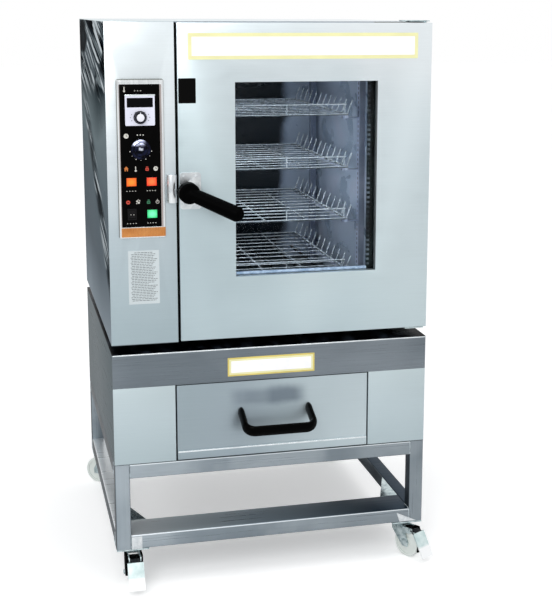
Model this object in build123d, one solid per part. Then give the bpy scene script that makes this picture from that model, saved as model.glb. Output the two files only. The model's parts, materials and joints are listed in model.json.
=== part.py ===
from build123d import *
import os

# Sweet potato roaster: an insulated oven with a glazed door and a control column, standing on
# a warming cabinet with a drawer, on a welded tube stand with swivel casters.
# Millimetres. X runs to the right seen from the front, Y to the back, Z up from the floor.
# Positions called "from_left" are measured from the left side of the cabinet.

# Overall sizes
width = 830.0
depth = 800.0
caster_height = 106.0
stand_height = 230.0
warmer_height = 292.0
foot_height = 23.0
oven_height = 801.0
sheet = 1.5
touch_gap = 0.3

# Stand of square tube, with a deeper tube across the front at the bottom
tube = 38.0
tube_wall = 2.0
front_rail_depth = 100.0
gusset_width = 50.0
gusset_length = 138.0
gusset_thickness = 3.0

# Warming cabinet and drawer
band_height = 89.0
drawer_from_left = 158.0
drawer_opening_width = 514.0
drawer_seam = 4.0
fold_depth = 20.0
drawer_front_depth = 18.0
drawer_lip_height = 24.0
drawer_lip_proud = 2.5
tub_side_gap = 12.0
tub_length = 600.0
tub_height = 172.0
runner_shelf = 15.0
runner_height = 60.0
runner_plate = 2.0
runner_gap = 1.0
warmer_heater_size = (300.0, 420.0, 12.0)
warmer_heater_foot = 2.0
heater_foot_inset = 15.0
heater_foot_radius = 6.0
stiffener_width = 40.0
stiffener_spacing = 300.0
stiffener_end_gap = 24.0

# Drawer handle, a bent bar that slopes down and out
handle_span = 180.0
handle_bar_height = 31.0
handle_bar_thickness = 17.0
handle_reach = 93.0
handle_droop = 26.0
handle_from_drawer_top = 84.0
handle_bend = 24.0
handle_shift = 3.0
handle_stub = 8.0
handle_foot_bend = 16.0

# Oven casing, door and chamber
column_width = 168.0
door_side_gap = 7.0
door_thickness = 37.0
gasket_thickness = 7.7
gasket_width = 12.0
gasket_margin = 6.0
door_top_gap = 3.0
cavity_from_left = 240.0
cavity_width = 456.0
cavity_floor_height = 66.0
cavity_height = 680.0
insulation_gap = 0.5
oven_foot_size = 40.0
oven_foot_inset = 60.0

# Door window and its double glazing
window_from_left = 318.0
window_width = 369.0
window_below_top = 148.0
window_height = 490.0
outer_reveal = 14.0
pane = 5.0
pane_overlap = 10.0
inner_pane_step = 1.0

# Door hinges: a plate with a pin above the door, and one below it
hinge_from_right = 15.0
hinge_plate_width = 52.0
hinge_plate_length = 92.0
hinge_plate_edge = 4.0
hinge_plate_thickness = 3.0
hinge_pin_radius = 5.0
hinge_pin_length = 22.0
running_gap = 0.05
bush_radius = 9.0

# Racks
rack_count = 4
rack_pitch = 137.0
rack_top_below_oven_top = 241.0
rack_inset_left = 64.0
rack_inset_right = 64.0
rack_front_inset = 32.0
rack_length = 570.0
rack_rear_gap = 38.0
rack_bar = 5.0
rack_mid_bar_width = 4.0
rack_mid_bar_height = 3.0
rack_wire_radius = 1.5
rack_wire_pitch = 51.0
prong_length = 38.0
prong_lean = 20.0
prong_sink = 2.0
rim_height = 24.0
rim_rod_radius = 2.0
rim_tick_pitch = 110.0
rim_tick_inset = 4.0
upright_width = 16.0
upright_depth = 24.0
upright_wall_gap = 12.0
upright_from_rack_end = 20.0
upright_bracket_from_end = 60.0
upright_bracket_width = 8.0
upright_bracket_height = 10.0
hook_thickness = 4.0
hook_depth = 12.0
rail_width = 8.0
rail_height = 6.0

# Heating elements and probe
element_radius = 4.0
element_pitch = 130.0
element_bend = 30.0
element_length = 520.0
element_above_floor = 34.0
element_count = 3
probe_radius = 3.0
probe_length = 80.0
probe_below_cavity_top = 60.0
probe_from_left = 560.0

# Control panel on the column: centres from the left side and below the oven's top
bezel_from_left = 25.0
bezel_width = 115.0
bezel_below_top = 137.0
bezel_height = 390.0
bezel_proud = 6.0
bezel_side_left = 8.0
bezel_side_right = 10.0
bezel_top_edge = 13.0
bezel_bottom_edge = 27.0
bezel_corner = 5.0
overlay_thickness = 3.0
controller_width = 72.0
controller_height = 75.0
controller_below_top = 175.0
controller_centre = 82.0
controller_plate = 4.0
controller_body_inset = 3.0
controller_body_depth = 58.0
controller_window = (62.0, 22.0)
controller_window_below = 8.0
controller_window_depth = 1.5
controller_corner = 3.0
temperature_knob_radius = 16.0
temperature_knob_height = 11.0
temperature_knob_above_edge = 20.0
timer_centre = 82.0
timer_below_top = 308.0
timer_dial_radius = 29.0
timer_dial_thickness = 1.5
timer_case = 44.0
timer_case_depth = 46.0
timer_bush_radius = 6.0
timer_knob_radius = 17.0
timer_knob_height = 17.0
knob_stem_radius = 3.0
knob_stem_length = 9.0
knob_stem_end_gap = 2.0
knob_edge = 2.0
pointer_width = 3.0
pointer_proud = 1.2
lamp_width = 24.0
lamp_height = 20.0
lamp_left = 58.0
lamp_right = 107.5
lamp_row_below_top = 388.0
lamp_low_below_top = 468.0
lamp_body_inset = 2.0
lamp_proud = 3.0
lamp_edge = 1.0
lamp_body_depth = 30.0
rocker_width = 22.0
rocker_height = 28.0
rocker_frame = 3.0
rocker_frame_proud = 2.0
rocker_well_depth = 12.0
rocker_pivot_radius = 1.5
rocker_pivot_behind = 1.0
rocker_pivot_reach = 0.8
rocker_tilt = 8.0
rocker_gap = 0.5
rocker_end_gap = 1.1
rocker_end_depth = 4.0
rocker_middle_depth = 2.2
rocker_root_depth = 3.0
rocker_root_inset = 3.5

# Electrics on the partition: lengths are off the plate, along Y and along Z
electrics_from_front = 200.0
electrics_above_base = 120.0
electrics_plate = (2.0, 220.0, 300.0)
contactor_size = (80.0, 45.0, 75.0)
contactor_place = (20.0, 180.0)
relay_size = (45.0, 40.0, 60.0)
relay_place = (100.0, 180.0)
terminals_size = (30.0, 160.0, 35.0)
terminals_place = (20.0, 40.0)

# Latch
latch_from_left = 194.0
latch_below_top = 414.0
latch_plate_size = (53.0, 92.0)
latch_plate_thickness = 4.0
latch_plate_from_edge = 2.0
latch_plate_corner = 8.0
latch_screw_inset = 11.0
latch_boss_radius = 18.0
latch_boss_height = 12.0
latch_shaft_radius = 6.0
tongue_height = 14.0
tongue_thickness = 9.0
latch_hub_radius = 26.0
latch_hub_depth = 34.0
latch_hub_edge = 6.0
grip_run = (102.0, -76.0, -43.0)
grip_start_radius = 17.0
grip_end_radius = 19.0
keeper_width = 24.0
keeper_height = 70.0
keeper_base_depth = 10.0
keeper_edge_gap = 0.0
keeper_above_latch = 8.0
tongue_keeper_gap = 1.3
screw_head_radius = 4.0
screw_head_height = 2.2

# Casters
kingpin_inset = 45.0
caster_plate = 84.0
caster_plate_thickness = 4.0
wheel_radius = 40.0
wheel_width = 24.0
wheel_hub_radius = 13.0
wheel_recess = 3.0
wheel_rim = 8.0
wheel_edge = 2.5
wheel_trail = 30.0
kingpin_radius = 6.0
kingpin_head_radius = 8.0
kingpin_head_height = 2.4
race_radius = 18.0
crown_clearance = 5.0
crown_thickness = 4.0
crown_trail = 20.0
crown_lead = 17.0
fork_plate = 3.0
fork_side_gap = 1.5
fork_drop = 14.0
fork_lug = 9.0
fork_lug_below = 10.0
fork_lug_above = 4.0
fork_lug_slope = 2.0
ear_radius = 7.0
ear_root = 14.0
ear_drop = 20.0
ear_cut = (3.0, 2.0)
axle_radius = 4.0
pedal_thickness = 3.0
pedal_width = 42.0
pedal_pin_radius = 3.0
pedal_pivot_reach = 22.0
pedal_knee_reach = 34.0
pedal_knee_drop = 4.0
pedal_toe_reach = 68.0
pedal_toe_below_axle = 24.0
pedal_slope = (2.0, 1.0)
swivel_turn = {"front_left": 0.0, "front_right": 30.0, "rear_left": 235.0, "rear_right": 180.0}

# Cable gland on the back
gland_from_left = 84.0
gland_above_oven_base = 90.0
gland_bore_radius = 6.0
gland_body_radius = 12.0
gland_body_length = 14.0
gland_nut_radius = 15.0
gland_nut_length = 8.0
gland_dome_length = 22.0
gland_dome_edge = 4.0

# Levels and planes that follow from the sizes above
stand_top = caster_height + stand_height
warmer_top = stand_top + warmer_height
oven_base = warmer_top + foot_height
oven_top = oven_base + oven_height
band_bottom = warmer_top - band_height
left = -width / 2
right = width / 2
latch_stand_off = latch_plate_thickness + latch_boss_height + touch_gap + tongue_thickness
front_reach = latch_stand_off + latch_hub_depth / 2 - grip_run[1] + grip_end_radius
back_reach = gland_nut_length + gland_dome_length
front = (front_reach - depth - back_reach) / 2
back = front + depth
body_front = front + door_thickness + gasket_thickness + touch_gap
door_left = left + column_width + door_side_gap
door_bottom = oven_base + hinge_plate_thickness
door_top = oven_top - door_top_gap
cavity_left = left + cavity_from_left
cavity_right = cavity_left + cavity_width
cavity_bottom = oven_base + cavity_floor_height
cavity_top = cavity_bottom + cavity_height
cavity_back = body_front + rack_front_inset + rack_length + rack_rear_gap
window_left = left + window_from_left
window_right = window_left + window_width
window_top = oven_top - window_below_top
window_bottom = window_top - window_height
hinge_x = right - hinge_from_right
hinge_y = front + door_thickness / 2
drawer_left = left + drawer_from_left
drawer_right = drawer_left + drawer_opening_width
rack_left = cavity_left + rack_inset_left
rack_right = cavity_right - rack_inset_right
rack_front = body_front + rack_front_inset
rack_levels = [oven_top - rack_top_below_oven_top - i * rack_pitch for i in range(rack_count)]
latch_x = left + latch_from_left
latch_z = oven_top - latch_below_top

os.makedirs("parts", exist_ok=True)


def block(x0, x1, y0, y1, z0, z1):
    """A box given by its limits on the three axes."""
    return Pos((x0 + x1) / 2, (y0 + y1) / 2, (z0 + z1) / 2) * Box(x1 - x0, y1 - y0, z1 - z0)


def rod_x(x0, x1, y, z, radius):
    """A round rod along X."""
    return Pos((x0 + x1) / 2, y, z) * Rot(0, 90, 0) * Cylinder(radius, x1 - x0)


def rod_y(x, y0, y1, z, radius):
    """A round rod along Y."""
    return Pos(x, (y0 + y1) / 2, z) * Rot(90, 0, 0) * Cylinder(radius, y1 - y0)


def rod_z(x, y, z0, z1, radius):
    """A round rod along Z."""
    return Pos(x, y, (z0 + z1) / 2) * Cylinder(radius, z1 - z0)


def ring(x0, x1, y0, y1, z0, z1, edge):
    """An upright picture frame: a plate in the XZ plane with a rectangular hole."""
    hole = block(x0 + edge, x1 - edge, y0 - 1, y1 + 1, z0 + edge, z1 - edge)
    return block(x0, x1, y0, y1, z0, z1) - hole


def solids_of(*shapes):
    """All the solids of some shapes, in one list."""
    return [solid for shape in shapes for solid in shape.solids()]


def save(node, *shapes):
    """Writes one sub-part with each of its pieces as a separate solid."""
    pieces = solids_of(*shapes)
    export_step(pieces[0] if len(pieces) == 1 else Compound(children=pieces), f"parts/{node}.step")


def four_corners(inset):
    """The places at a distance from the cabinet's sides, in the order of the casters' names."""
    return [(left + inset, front + inset), (right - inset, front + inset),
            (left + inset, back - inset), (right - inset, back - inset)]


# Stand
def tube_z(x, y, z0, z1):
    outer = block(x - tube / 2, x + tube / 2, y - tube / 2, y + tube / 2, z0, z1)
    bore = tube / 2 - tube_wall
    return outer - block(x - bore, x + bore, y - bore, y + bore, z0 - 1, z1 + 1)


def tube_x(y0, y1, z):
    outer = block(left + tube, right - tube, y0, y1, z - tube / 2, z + tube / 2)
    bore = tube / 2 - tube_wall
    return outer - block(left, right, y0 + tube_wall, y1 - tube_wall, z - bore, z + bore)


def tube_y(x, z):
    outer = block(x - tube / 2, x + tube / 2, front + tube, back - tube, z - tube / 2, z + tube / 2)
    bore = tube / 2 - tube_wall
    return outer - block(x - bore, x + bore, front, back, z - bore, z + bore)


def stand_rails():
    """Two rectangles of rails between the legs. The front rail at the bottom is a deeper tube."""
    rails = []
    for z, front_depth in ((caster_height + tube / 2, front_rail_depth), (stand_top - tube / 2, tube)):
        rails += [tube_x(front, front + front_depth, z), tube_x(back - tube, back, z)]
        rails += [tube_y(x, z) for x in (left + tube / 2, right - tube / 2)]
    return rails


def caster_mount(x, y, side_x, side_y):
    """The plate under one corner with its kingpin, and the triangular gusset above it."""
    corner_x, corner_y = x + side_x * kingpin_inset, y + side_y * kingpin_inset
    far_x, far_y = corner_x - side_x * caster_plate, corner_y - side_y * caster_plate
    plate = block(min(corner_x, far_x), max(corner_x, far_x), min(corner_y, far_y),
                  max(corner_y, far_y), caster_height - caster_plate_thickness, caster_height)
    head_top = crown_bottom - touch_gap
    pin = rod_z(x, y, head_top - kingpin_head_height, caster_height - caster_plate_thickness,
                kingpin_radius)
    head = rod_z(x, y, head_top - kingpin_head_height, head_top, kingpin_head_radius)
    rail_depth = front_rail_depth if side_y < 0 else tube
    inner_x, inner_y = corner_x - side_x * tube, corner_y - side_y * rail_depth
    outline = Polyline((inner_x, inner_y), (inner_x - side_x * gusset_width, inner_y),
                       (inner_x, inner_y - side_y * gusset_length), close=True)
    gusset_top = caster_height + tube
    gusset = Pos(0, 0, gusset_top - gusset_thickness) * extrude(
        make_face(outline), gusset_thickness, dir=(0, 0, 1))
    return [plate + pin + head, gusset]


crown_bottom = 2 * wheel_radius + crown_clearance
crown_top = crown_bottom + crown_thickness


def caster_mounts():
    sides = [(-1, -1), (1, -1), (-1, 1), (1, 1)]
    mounts = []
    for (x, y), (side_x, side_y) in zip(four_corners(kingpin_inset), sides):
        mounts += caster_mount(x, y, side_x, side_y)
    return mounts


save("stand_legs", *[tube_z(x, y, caster_height, stand_top) for x, y in four_corners(tube / 2)])
save("stand_rails", *stand_rails())
save("caster_plates", *caster_mounts())


# Casters, drawn with the kingpin on the Z axis and the wheel trailing along -Y
fork_inner = wheel_width / 2 + fork_side_gap
fork_outer = fork_inner + fork_plate
pedal_pivot = (-wheel_trail - pedal_pivot_reach, 2 * wheel_radius)
pedal_knee = (-wheel_trail - pedal_knee_reach, 2 * wheel_radius - pedal_knee_drop)
pedal_toe = (-wheel_trail - pedal_toe_reach, wheel_radius - pedal_toe_below_axle)


def side_plate(x0, x1, profile):
    """A plate across X with an outline given in Y and Z."""
    face = make_face(Polyline(*[(0, y, z) for y, z in profile], close=True))
    return Pos(x0, 0, 0) * extrude(face, x1 - x0, dir=(1, 0, 0))


def fork(with_ears):
    """Crown with its bearing race, two side plates and the axle."""
    race_top = caster_height - caster_plate_thickness - touch_gap
    crown = block(-fork_outer, fork_outer, -crown_trail, crown_lead, crown_bottom, crown_top)
    crown += rod_z(0, 0, crown_top, race_top, race_radius)
    crown -= rod_z(0, 0, crown_bottom - 1, race_top + 1, kingpin_radius + running_gap)
    axle_y, axle_z = -wheel_trail, wheel_radius
    lug_bottom = axle_z - fork_lug_below
    profile = [(crown_lead, crown_bottom), (crown_lead, crown_bottom - fork_drop),
               (axle_y + fork_lug, lug_bottom), (axle_y - fork_lug, lug_bottom),
               (axle_y - fork_lug - fork_lug_slope, axle_z + fork_lug_above), (-crown_trail, crown_bottom)]
    pivot_y, pivot_z = pedal_pivot
    cut_y, cut_z = ear_cut
    ear = [(-crown_trail, crown_bottom), (-ear_root, crown_bottom - ear_drop),
           (pivot_y, pivot_z - ear_radius), (pivot_y - ear_radius, pivot_z - cut_z),
           (pivot_y - cut_y, pivot_z + ear_radius)]
    pieces = [crown]
    for x0, x1 in ((-fork_outer, -fork_inner), (fork_inner, fork_outer)):
        plate = side_plate(x0, x1, profile)
        if with_ears:
            plate += side_plate(x0, x1, ear)
            plate -= rod_x(x0 - 1, x1 + 1, *pedal_pivot, pedal_pin_radius + running_gap)
        pieces.append(plate)
    pieces.append(rod_x(-fork_inner, fork_inner, axle_y, axle_z, axle_radius))
    return pieces


def wheel():
    """Tyre and hub in one moulding, with recessed sides and a bore for the axle."""
    half = wheel_width / 2
    y, z = -wheel_trail, wheel_radius
    body = rod_x(-half, half, y, z, wheel_radius)
    body = fillet(body.edges(), wheel_edge)
    for x0, x1 in ((-half - 1, -half + wheel_recess), (half - wheel_recess, half + 1)):
        body -= rod_x(x0, x1, y, z, wheel_radius - wheel_rim) - rod_x(x0, x1, y, z, wheel_hub_radius)
    return body - rod_x(-half - 1, half + 1, y, z, axle_radius + running_gap)


def pedal():
    """Brake pedal: a pin and knuckle between the fork's ears, and a wide tread in front."""
    half = fork_inner - touch_gap
    pin = rod_x(-fork_outer, fork_outer, *pedal_pivot, pedal_pin_radius)
    (py, pz), (ky, kz), (ty, tz) = pedal_pivot, pedal_knee, pedal_toe
    slope_y, slope_z = pedal_slope
    reach = pedal_pin_radius
    arm = side_plate(-half, half, [(py, pz + reach), (py + reach, pz), (py, pz - reach),
                                   (ky - slope_y, kz - reach), (ky - slope_y, kz + reach)])
    tread = side_plate(-pedal_width / 2, pedal_width / 2,
                       [(ky, kz - pedal_thickness), (ky - slope_y, kz + pedal_thickness),
                        (ty - pedal_thickness, tz + slope_z), (ty, tz)])
    return pin + arm + tread


def place_caster(name, shape):
    """Moves a caster's piece to its corner and turns it about the kingpin."""
    x, y = dict(zip(swivel_turn, four_corners(kingpin_inset)))[name]
    return Pos(x, y, 0) * Rot(0, 0, swivel_turn[name]) * shape


for corner in swivel_turn:
    braked = corner.startswith("front")
    save(f"caster_fork_{corner}", *[place_caster(corner, piece) for piece in fork(braked)])
    save(f"caster_wheel_{corner}", place_caster(corner, wheel()))
    if braked:
        save(f"brake_pedal_{corner}", place_caster(corner, pedal()))


# Warming cabinet
def warmer_band():
    """Front band with its top and bottom edges folded back."""
    top = warmer_top - sheet
    face = block(left, right, front, front + sheet, band_bottom, top)
    folds = [block(left + sheet, right - sheet, front, front + fold_depth, z, z + sheet)
             for z in (band_bottom, top - sheet)]
    return face + folds[0] + folds[1]


def warmer_fillers():
    """The fixed front sheets on both sides of the drawer, folded back at the drawer."""
    bottom = stand_top + sheet
    pieces = []
    for x0, x1, fold_x in ((left, drawer_left, drawer_left - sheet),
                           (drawer_right, right, drawer_right)):
        face = block(x0, x1, front, front + sheet, bottom, band_bottom)
        fold = block(fold_x, fold_x + sheet, front, front + fold_depth, bottom, band_bottom)
        pieces.append(face + fold)
    return pieces


def warmer_hood():
    """Deck on top and the two side sheets."""
    deck = block(left, right, front, back, warmer_top - sheet, warmer_top)
    sides = [block(x, x + sheet, front + sheet, back - sheet, stand_top + sheet, warmer_top - sheet)
             for x in (left, right - sheet)]
    return [deck, *sides]


def warmer_floor_and_back():
    floor = block(left, right, front, back, stand_top, stand_top + sheet)
    rear = block(left, right, back - sheet, back, stand_top + sheet, warmer_top - sheet)
    return [floor, rear]


save("warmer_front_band", warmer_band())
save("warmer_front_fillers", *warmer_fillers())
save("warmer_hood", *warmer_hood())
save("warmer_floor_and_back", *warmer_floor_and_back())

tub_left = drawer_left + tub_side_gap
tub_right = drawer_right - tub_side_gap
tub_front = front + drawer_front_depth
tub_back = tub_front + tub_length
floor_top = stand_top + sheet
shelf_top = floor_top + warmer_heater_foot + warmer_heater_size[2] + runner_plate + touch_gap
tub_bottom = shelf_top + touch_gap


def runners():
    """Two angles on the floor of the warming cabinet that carry and guide the drawer."""
    y0, y1 = front + fold_depth + touch_gap, back - sheet
    pieces = []
    for web_x, shelf_x in ((tub_left - runner_gap - runner_plate, tub_left - runner_gap),
                           (tub_right + runner_gap, tub_right + runner_gap - runner_shelf)):
        web = block(web_x, web_x + runner_plate, y0, y1, floor_top, floor_top + runner_height)
        shelf = block(shelf_x, shelf_x + runner_shelf, y0, y1, shelf_top - runner_plate, shelf_top)
        pieces.append(web + shelf)
    return pieces


def warmer_heater():
    """A flat heating plate on four low feet under the drawer."""
    size_x, size_y, size_z = warmer_heater_size
    centre_y = (tub_front + tub_back) / 2
    centre_x = (tub_left + tub_right) / 2
    bottom = floor_top + warmer_heater_foot
    plate = block(centre_x - size_x / 2, centre_x + size_x / 2, centre_y - size_y / 2,
                  centre_y + size_y / 2, bottom, bottom + size_z)
    reach_x, reach_y = size_x / 2 - heater_foot_inset, size_y / 2 - heater_foot_inset
    for x in (centre_x - reach_x, centre_x + reach_x):
        for y in (centre_y - reach_y, centre_y + reach_y):
            plate += rod_z(x, y, floor_top, bottom, heater_foot_radius)
    return plate


save("drawer_runners", *runners())
save("warmer_heater", warmer_heater())


# Drawer
def drawer_tub():
    tub_top = tub_bottom + tub_height
    shell = block(tub_left, tub_right, tub_front, tub_back, tub_bottom, tub_top)
    return shell - block(tub_left + sheet, tub_right - sheet, tub_front + sheet, tub_back - sheet,
                         tub_bottom + sheet, tub_top + 1)


def drawer_front():
    """Front sheet with folded edges, a doubled lip along the bottom, and two stiffeners on the tub."""
    x0, x1 = drawer_left + drawer_seam, drawer_right - drawer_seam
    z0, z1 = floor_top + drawer_seam / 2, band_bottom - drawer_seam / 2
    pan = block(x0, x1, front, tub_front, z0, z1)
    pan -= block(x0 + sheet, x1 - sheet, front + sheet, tub_front + 1, z0 + sheet, z1 - sheet)
    lip = block(x0, x1, front - drawer_lip_proud, front, z0, z0 + drawer_lip_height)
    middle = (x0 + x1) / 2
    stiffeners = [block(x - stiffener_width / 2, x + stiffener_width / 2, front + sheet, tub_front,
                        z0 + stiffener_end_gap, z1 - stiffener_end_gap)
                  for x in (middle - stiffener_spacing / 2, middle + stiffener_spacing / 2)]
    return pan + lip + stiffeners


def drawer_handle():
    """A bent bar of oval section, sloping down from the drawer's face."""
    middle = (drawer_left + drawer_right) / 2 + handle_shift
    z0 = band_bottom - drawer_seam / 2 - handle_from_drawer_top
    x0, x1 = middle - handle_span / 2, middle + handle_span / 2
    y1, z1 = front - handle_reach + handle_bar_height / 2, z0 - handle_droop
    path = FilletPolyline((x0, front, z0), (x0, front - handle_stub, z0), (x0, y1, z1), (x1, y1, z1),
                          (x1, front - handle_stub, z0), (x1, front, z0),
                          radius=[handle_foot_bend, handle_bend, handle_bend, handle_foot_bend])
    foot = Plane(origin=(x0, front, z0), x_dir=(1, 0, 0), z_dir=(0, -1, 0))
    section = foot * Ellipse(handle_bar_thickness / 2, handle_bar_height / 2)
    return sweep(section, path=path)


save("drawer_tub", drawer_tub())
save("drawer_front", drawer_front())
save("drawer_handle", drawer_handle())


# Oven casing
def footprint(z0, z1):
    """A sheet over the whole oven that leaves the door's place free in front."""
    main = block(left, right, body_front, back, z0, z1)
    return main + block(left, left + column_width, front, body_front, z0, z1)


def base_pan():
    """Bottom sheet of the oven and the four feet that carry it on the warming cabinet."""
    pan = footprint(oven_base, oven_base + sheet)
    foot, inset = oven_foot_size, oven_foot_inset
    feet = []
    for x0 in (left + inset, right - inset - foot):
        for y0 in (front + inset + foot, back - inset - foot):
            feet.append(block(x0, x0 + foot, y0, y0 + foot, warmer_top, oven_base))
    return [pan, *feet]


wall_bottom = oven_base + sheet
wall_top = oven_top - sheet


def control_column():
    """Front sheet of the control column and the partition behind its right edge."""
    x1 = left + column_width
    face = block(left, x1, front, front + sheet, wall_bottom, wall_top)
    partition = block(x1 - sheet, x1, front + sheet, back - sheet, wall_bottom, wall_top)
    for x, z, size_x, size_z in panel_cutouts():
        face -= block(x - size_x / 2, x + size_x / 2, front - 1, front + sheet + 1,
                      z - size_z / 2, z + size_z / 2)
    face -= rod_y(left + timer_centre, front - 1, front + sheet + 1, oven_top - timer_below_top,
                  timer_bush_radius + touch_gap)
    return face + partition


def panel_cutouts():
    """Centres and sizes of the square openings for the controller, lamps and switch."""
    lamp_size = (lamp_width - 2 * lamp_body_inset, lamp_height - 2 * lamp_body_inset)
    rocker_size = (rocker_width - 2 * lamp_body_inset, rocker_height - 2 * lamp_body_inset)
    controller_size = (controller_width - 2 * controller_body_inset,
                       controller_height - 2 * controller_body_inset)
    controller_z = oven_top - controller_below_top - controller_height / 2
    return [(left + controller_centre, controller_z, *controller_size),
            *[(x, z, *lamp_size) for x, z in lamp_places()],
            (left + lamp_left, oven_top - lamp_low_below_top, *rocker_size)]


def lamp_places():
    """Centres of the orange, red and green lamps."""
    return [(left + lamp_left, oven_top - lamp_row_below_top),
            (left + lamp_right, oven_top - lamp_row_below_top),
            (left + lamp_right, oven_top - lamp_low_below_top)]


save("oven_base_pan", *base_pan())
save("oven_left_panel", block(left, left + sheet, front + sheet, back - sheet, wall_bottom, wall_top))
save("oven_right_panel", block(right - sheet, right, body_front + sheet, back - sheet, wall_bottom,
                               wall_top))
save("oven_top_panel", footprint(oven_top - sheet, oven_top))
gland_x = left + gland_from_left
gland_z = oven_base + gland_above_oven_base
back_sheet = block(left, right, back - sheet, back, wall_bottom, wall_top)
save("oven_back_panel", back_sheet - rod_y(gland_x, back - sheet - 1, back + 1, gland_z,
                                           gland_body_radius + running_gap))
save("control_column", control_column())


# Chamber
def chamber_liner():
    """Five welded sheets and a flange in front that the door's gasket closes on."""
    y0, y1 = body_front + sheet, cavity_back
    side_left = block(cavity_left - sheet, cavity_left, y0, y1, cavity_bottom, cavity_top)
    side_right = block(cavity_right, cavity_right + sheet, y0, y1, cavity_bottom, cavity_top)
    floor = block(cavity_left - sheet, cavity_right + sheet, y0, y1, cavity_bottom - sheet,
                  cavity_bottom)
    roof = block(cavity_left - sheet, cavity_right + sheet, y0, y1, cavity_top, cavity_top + sheet)
    rear = block(cavity_left - sheet, cavity_right + sheet, y1, y1 + sheet, cavity_bottom - sheet,
                 cavity_top + sheet)
    flange_left = left + column_width
    flange = [block(flange_left, cavity_left, body_front, y0, wall_bottom, wall_top),
              block(cavity_right, right, body_front, y0, wall_bottom, wall_top),
              block(cavity_left, cavity_right, body_front, y0, wall_bottom, cavity_bottom),
              block(cavity_left, cavity_right, body_front, y0, cavity_top, wall_top)]
    return [side_left, side_right, floor, roof, rear, *flange]


def chamber_insulation():
    """Slabs of mineral wool between the liner and the casing."""
    gap = insulation_gap
    y0, y1 = body_front + sheet + gap, back - sheet - gap
    x0, x1 = left + column_width + gap, right - sheet - gap
    z0, z1 = wall_bottom + gap, wall_top - gap
    inner_left, inner_right = cavity_left - sheet - gap, cavity_right + sheet + gap
    low, high = cavity_bottom - sheet - gap, cavity_top + sheet + gap
    return [block(x0, inner_left, y0, y1, z0, z1), block(inner_right, x1, y0, y1, z0, z1),
            block(inner_left, inner_right, y0, y1, z0, low),
            block(inner_left, inner_right, y0, y1, high, z1),
            block(inner_left, inner_right, cavity_back + sheet + gap, y1, low, high)]


def support_side(wall, towards):
    """Uprights, hooks and rails on one side wall: the racks slide on the rails."""
    pieces = []
    upright_near = wall + towards * upright_wall_gap
    upright_far = upright_near + towards * upright_width
    rack_edge = rack_left if towards > 0 else rack_right
    rail_far = rack_edge + towards * rail_width
    rack_back = rack_front + rack_length
    for y in (rack_front + upright_from_rack_end, rack_back - upright_from_rack_end - upright_depth):
        upright = block(min(upright_near, upright_far), max(upright_near, upright_far), y,
                        y + upright_depth, cavity_bottom, cavity_top)
        bracket_y = y + (upright_depth - upright_bracket_width) / 2
        for z in (cavity_bottom + upright_bracket_from_end, cavity_top - upright_bracket_from_end):
            upright += block(min(wall, upright_near), max(wall, upright_near), bracket_y,
                             bracket_y + upright_bracket_width, z, z + upright_bracket_height)
        pieces.append(upright)
        hook_y = y + (upright_depth - hook_depth) / 2
        for level in rack_levels:
            hook_top = level - touch_gap - rail_height
            pieces.append(block(min(upright_far, rail_far), max(upright_far, rail_far), hook_y,
                                hook_y + hook_depth, hook_top - hook_thickness, hook_top))
    for level in rack_levels:
        rail_top = level - touch_gap
        pieces.append(block(min(rack_edge, rail_far), max(rack_edge, rail_far), rack_front,
                            rack_back, rail_top - rail_height, rail_top))
    return pieces


def heating_element(z):
    """Hairpins of round tube that come through the chamber's back wall."""
    pieces = []
    middle = (cavity_left + cavity_right) / 2
    for i in range(element_count):
        x = middle + (i - (element_count - 1) / 2) * element_pitch
        y = cavity_back - element_length
        legs = [rod_y(x + side * element_bend, y, cavity_back, z, element_radius) for side in (-1, 1)]
        bend = Pos(x, y, z) * Torus(element_bend, element_radius)
        bend &= block(x - 2 * element_bend, x + 2 * element_bend, y - 2 * element_bend, y,
                      z - 2 * element_radius, z + 2 * element_radius)
        pieces.append(legs[0] + bend + legs[1])
    return pieces


save("chamber_liner", *chamber_liner())
save("chamber_insulation", *chamber_insulation())
save("rack_uprights", *support_side(cavity_left, 1), *support_side(cavity_right, -1))
save("chamber_heaters", *heating_element(cavity_bottom + element_above_floor))
save("temperature_probe", rod_y(left + probe_from_left, cavity_back - probe_length, cavity_back,
                                cavity_top - probe_below_cavity_top, probe_radius))


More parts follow.
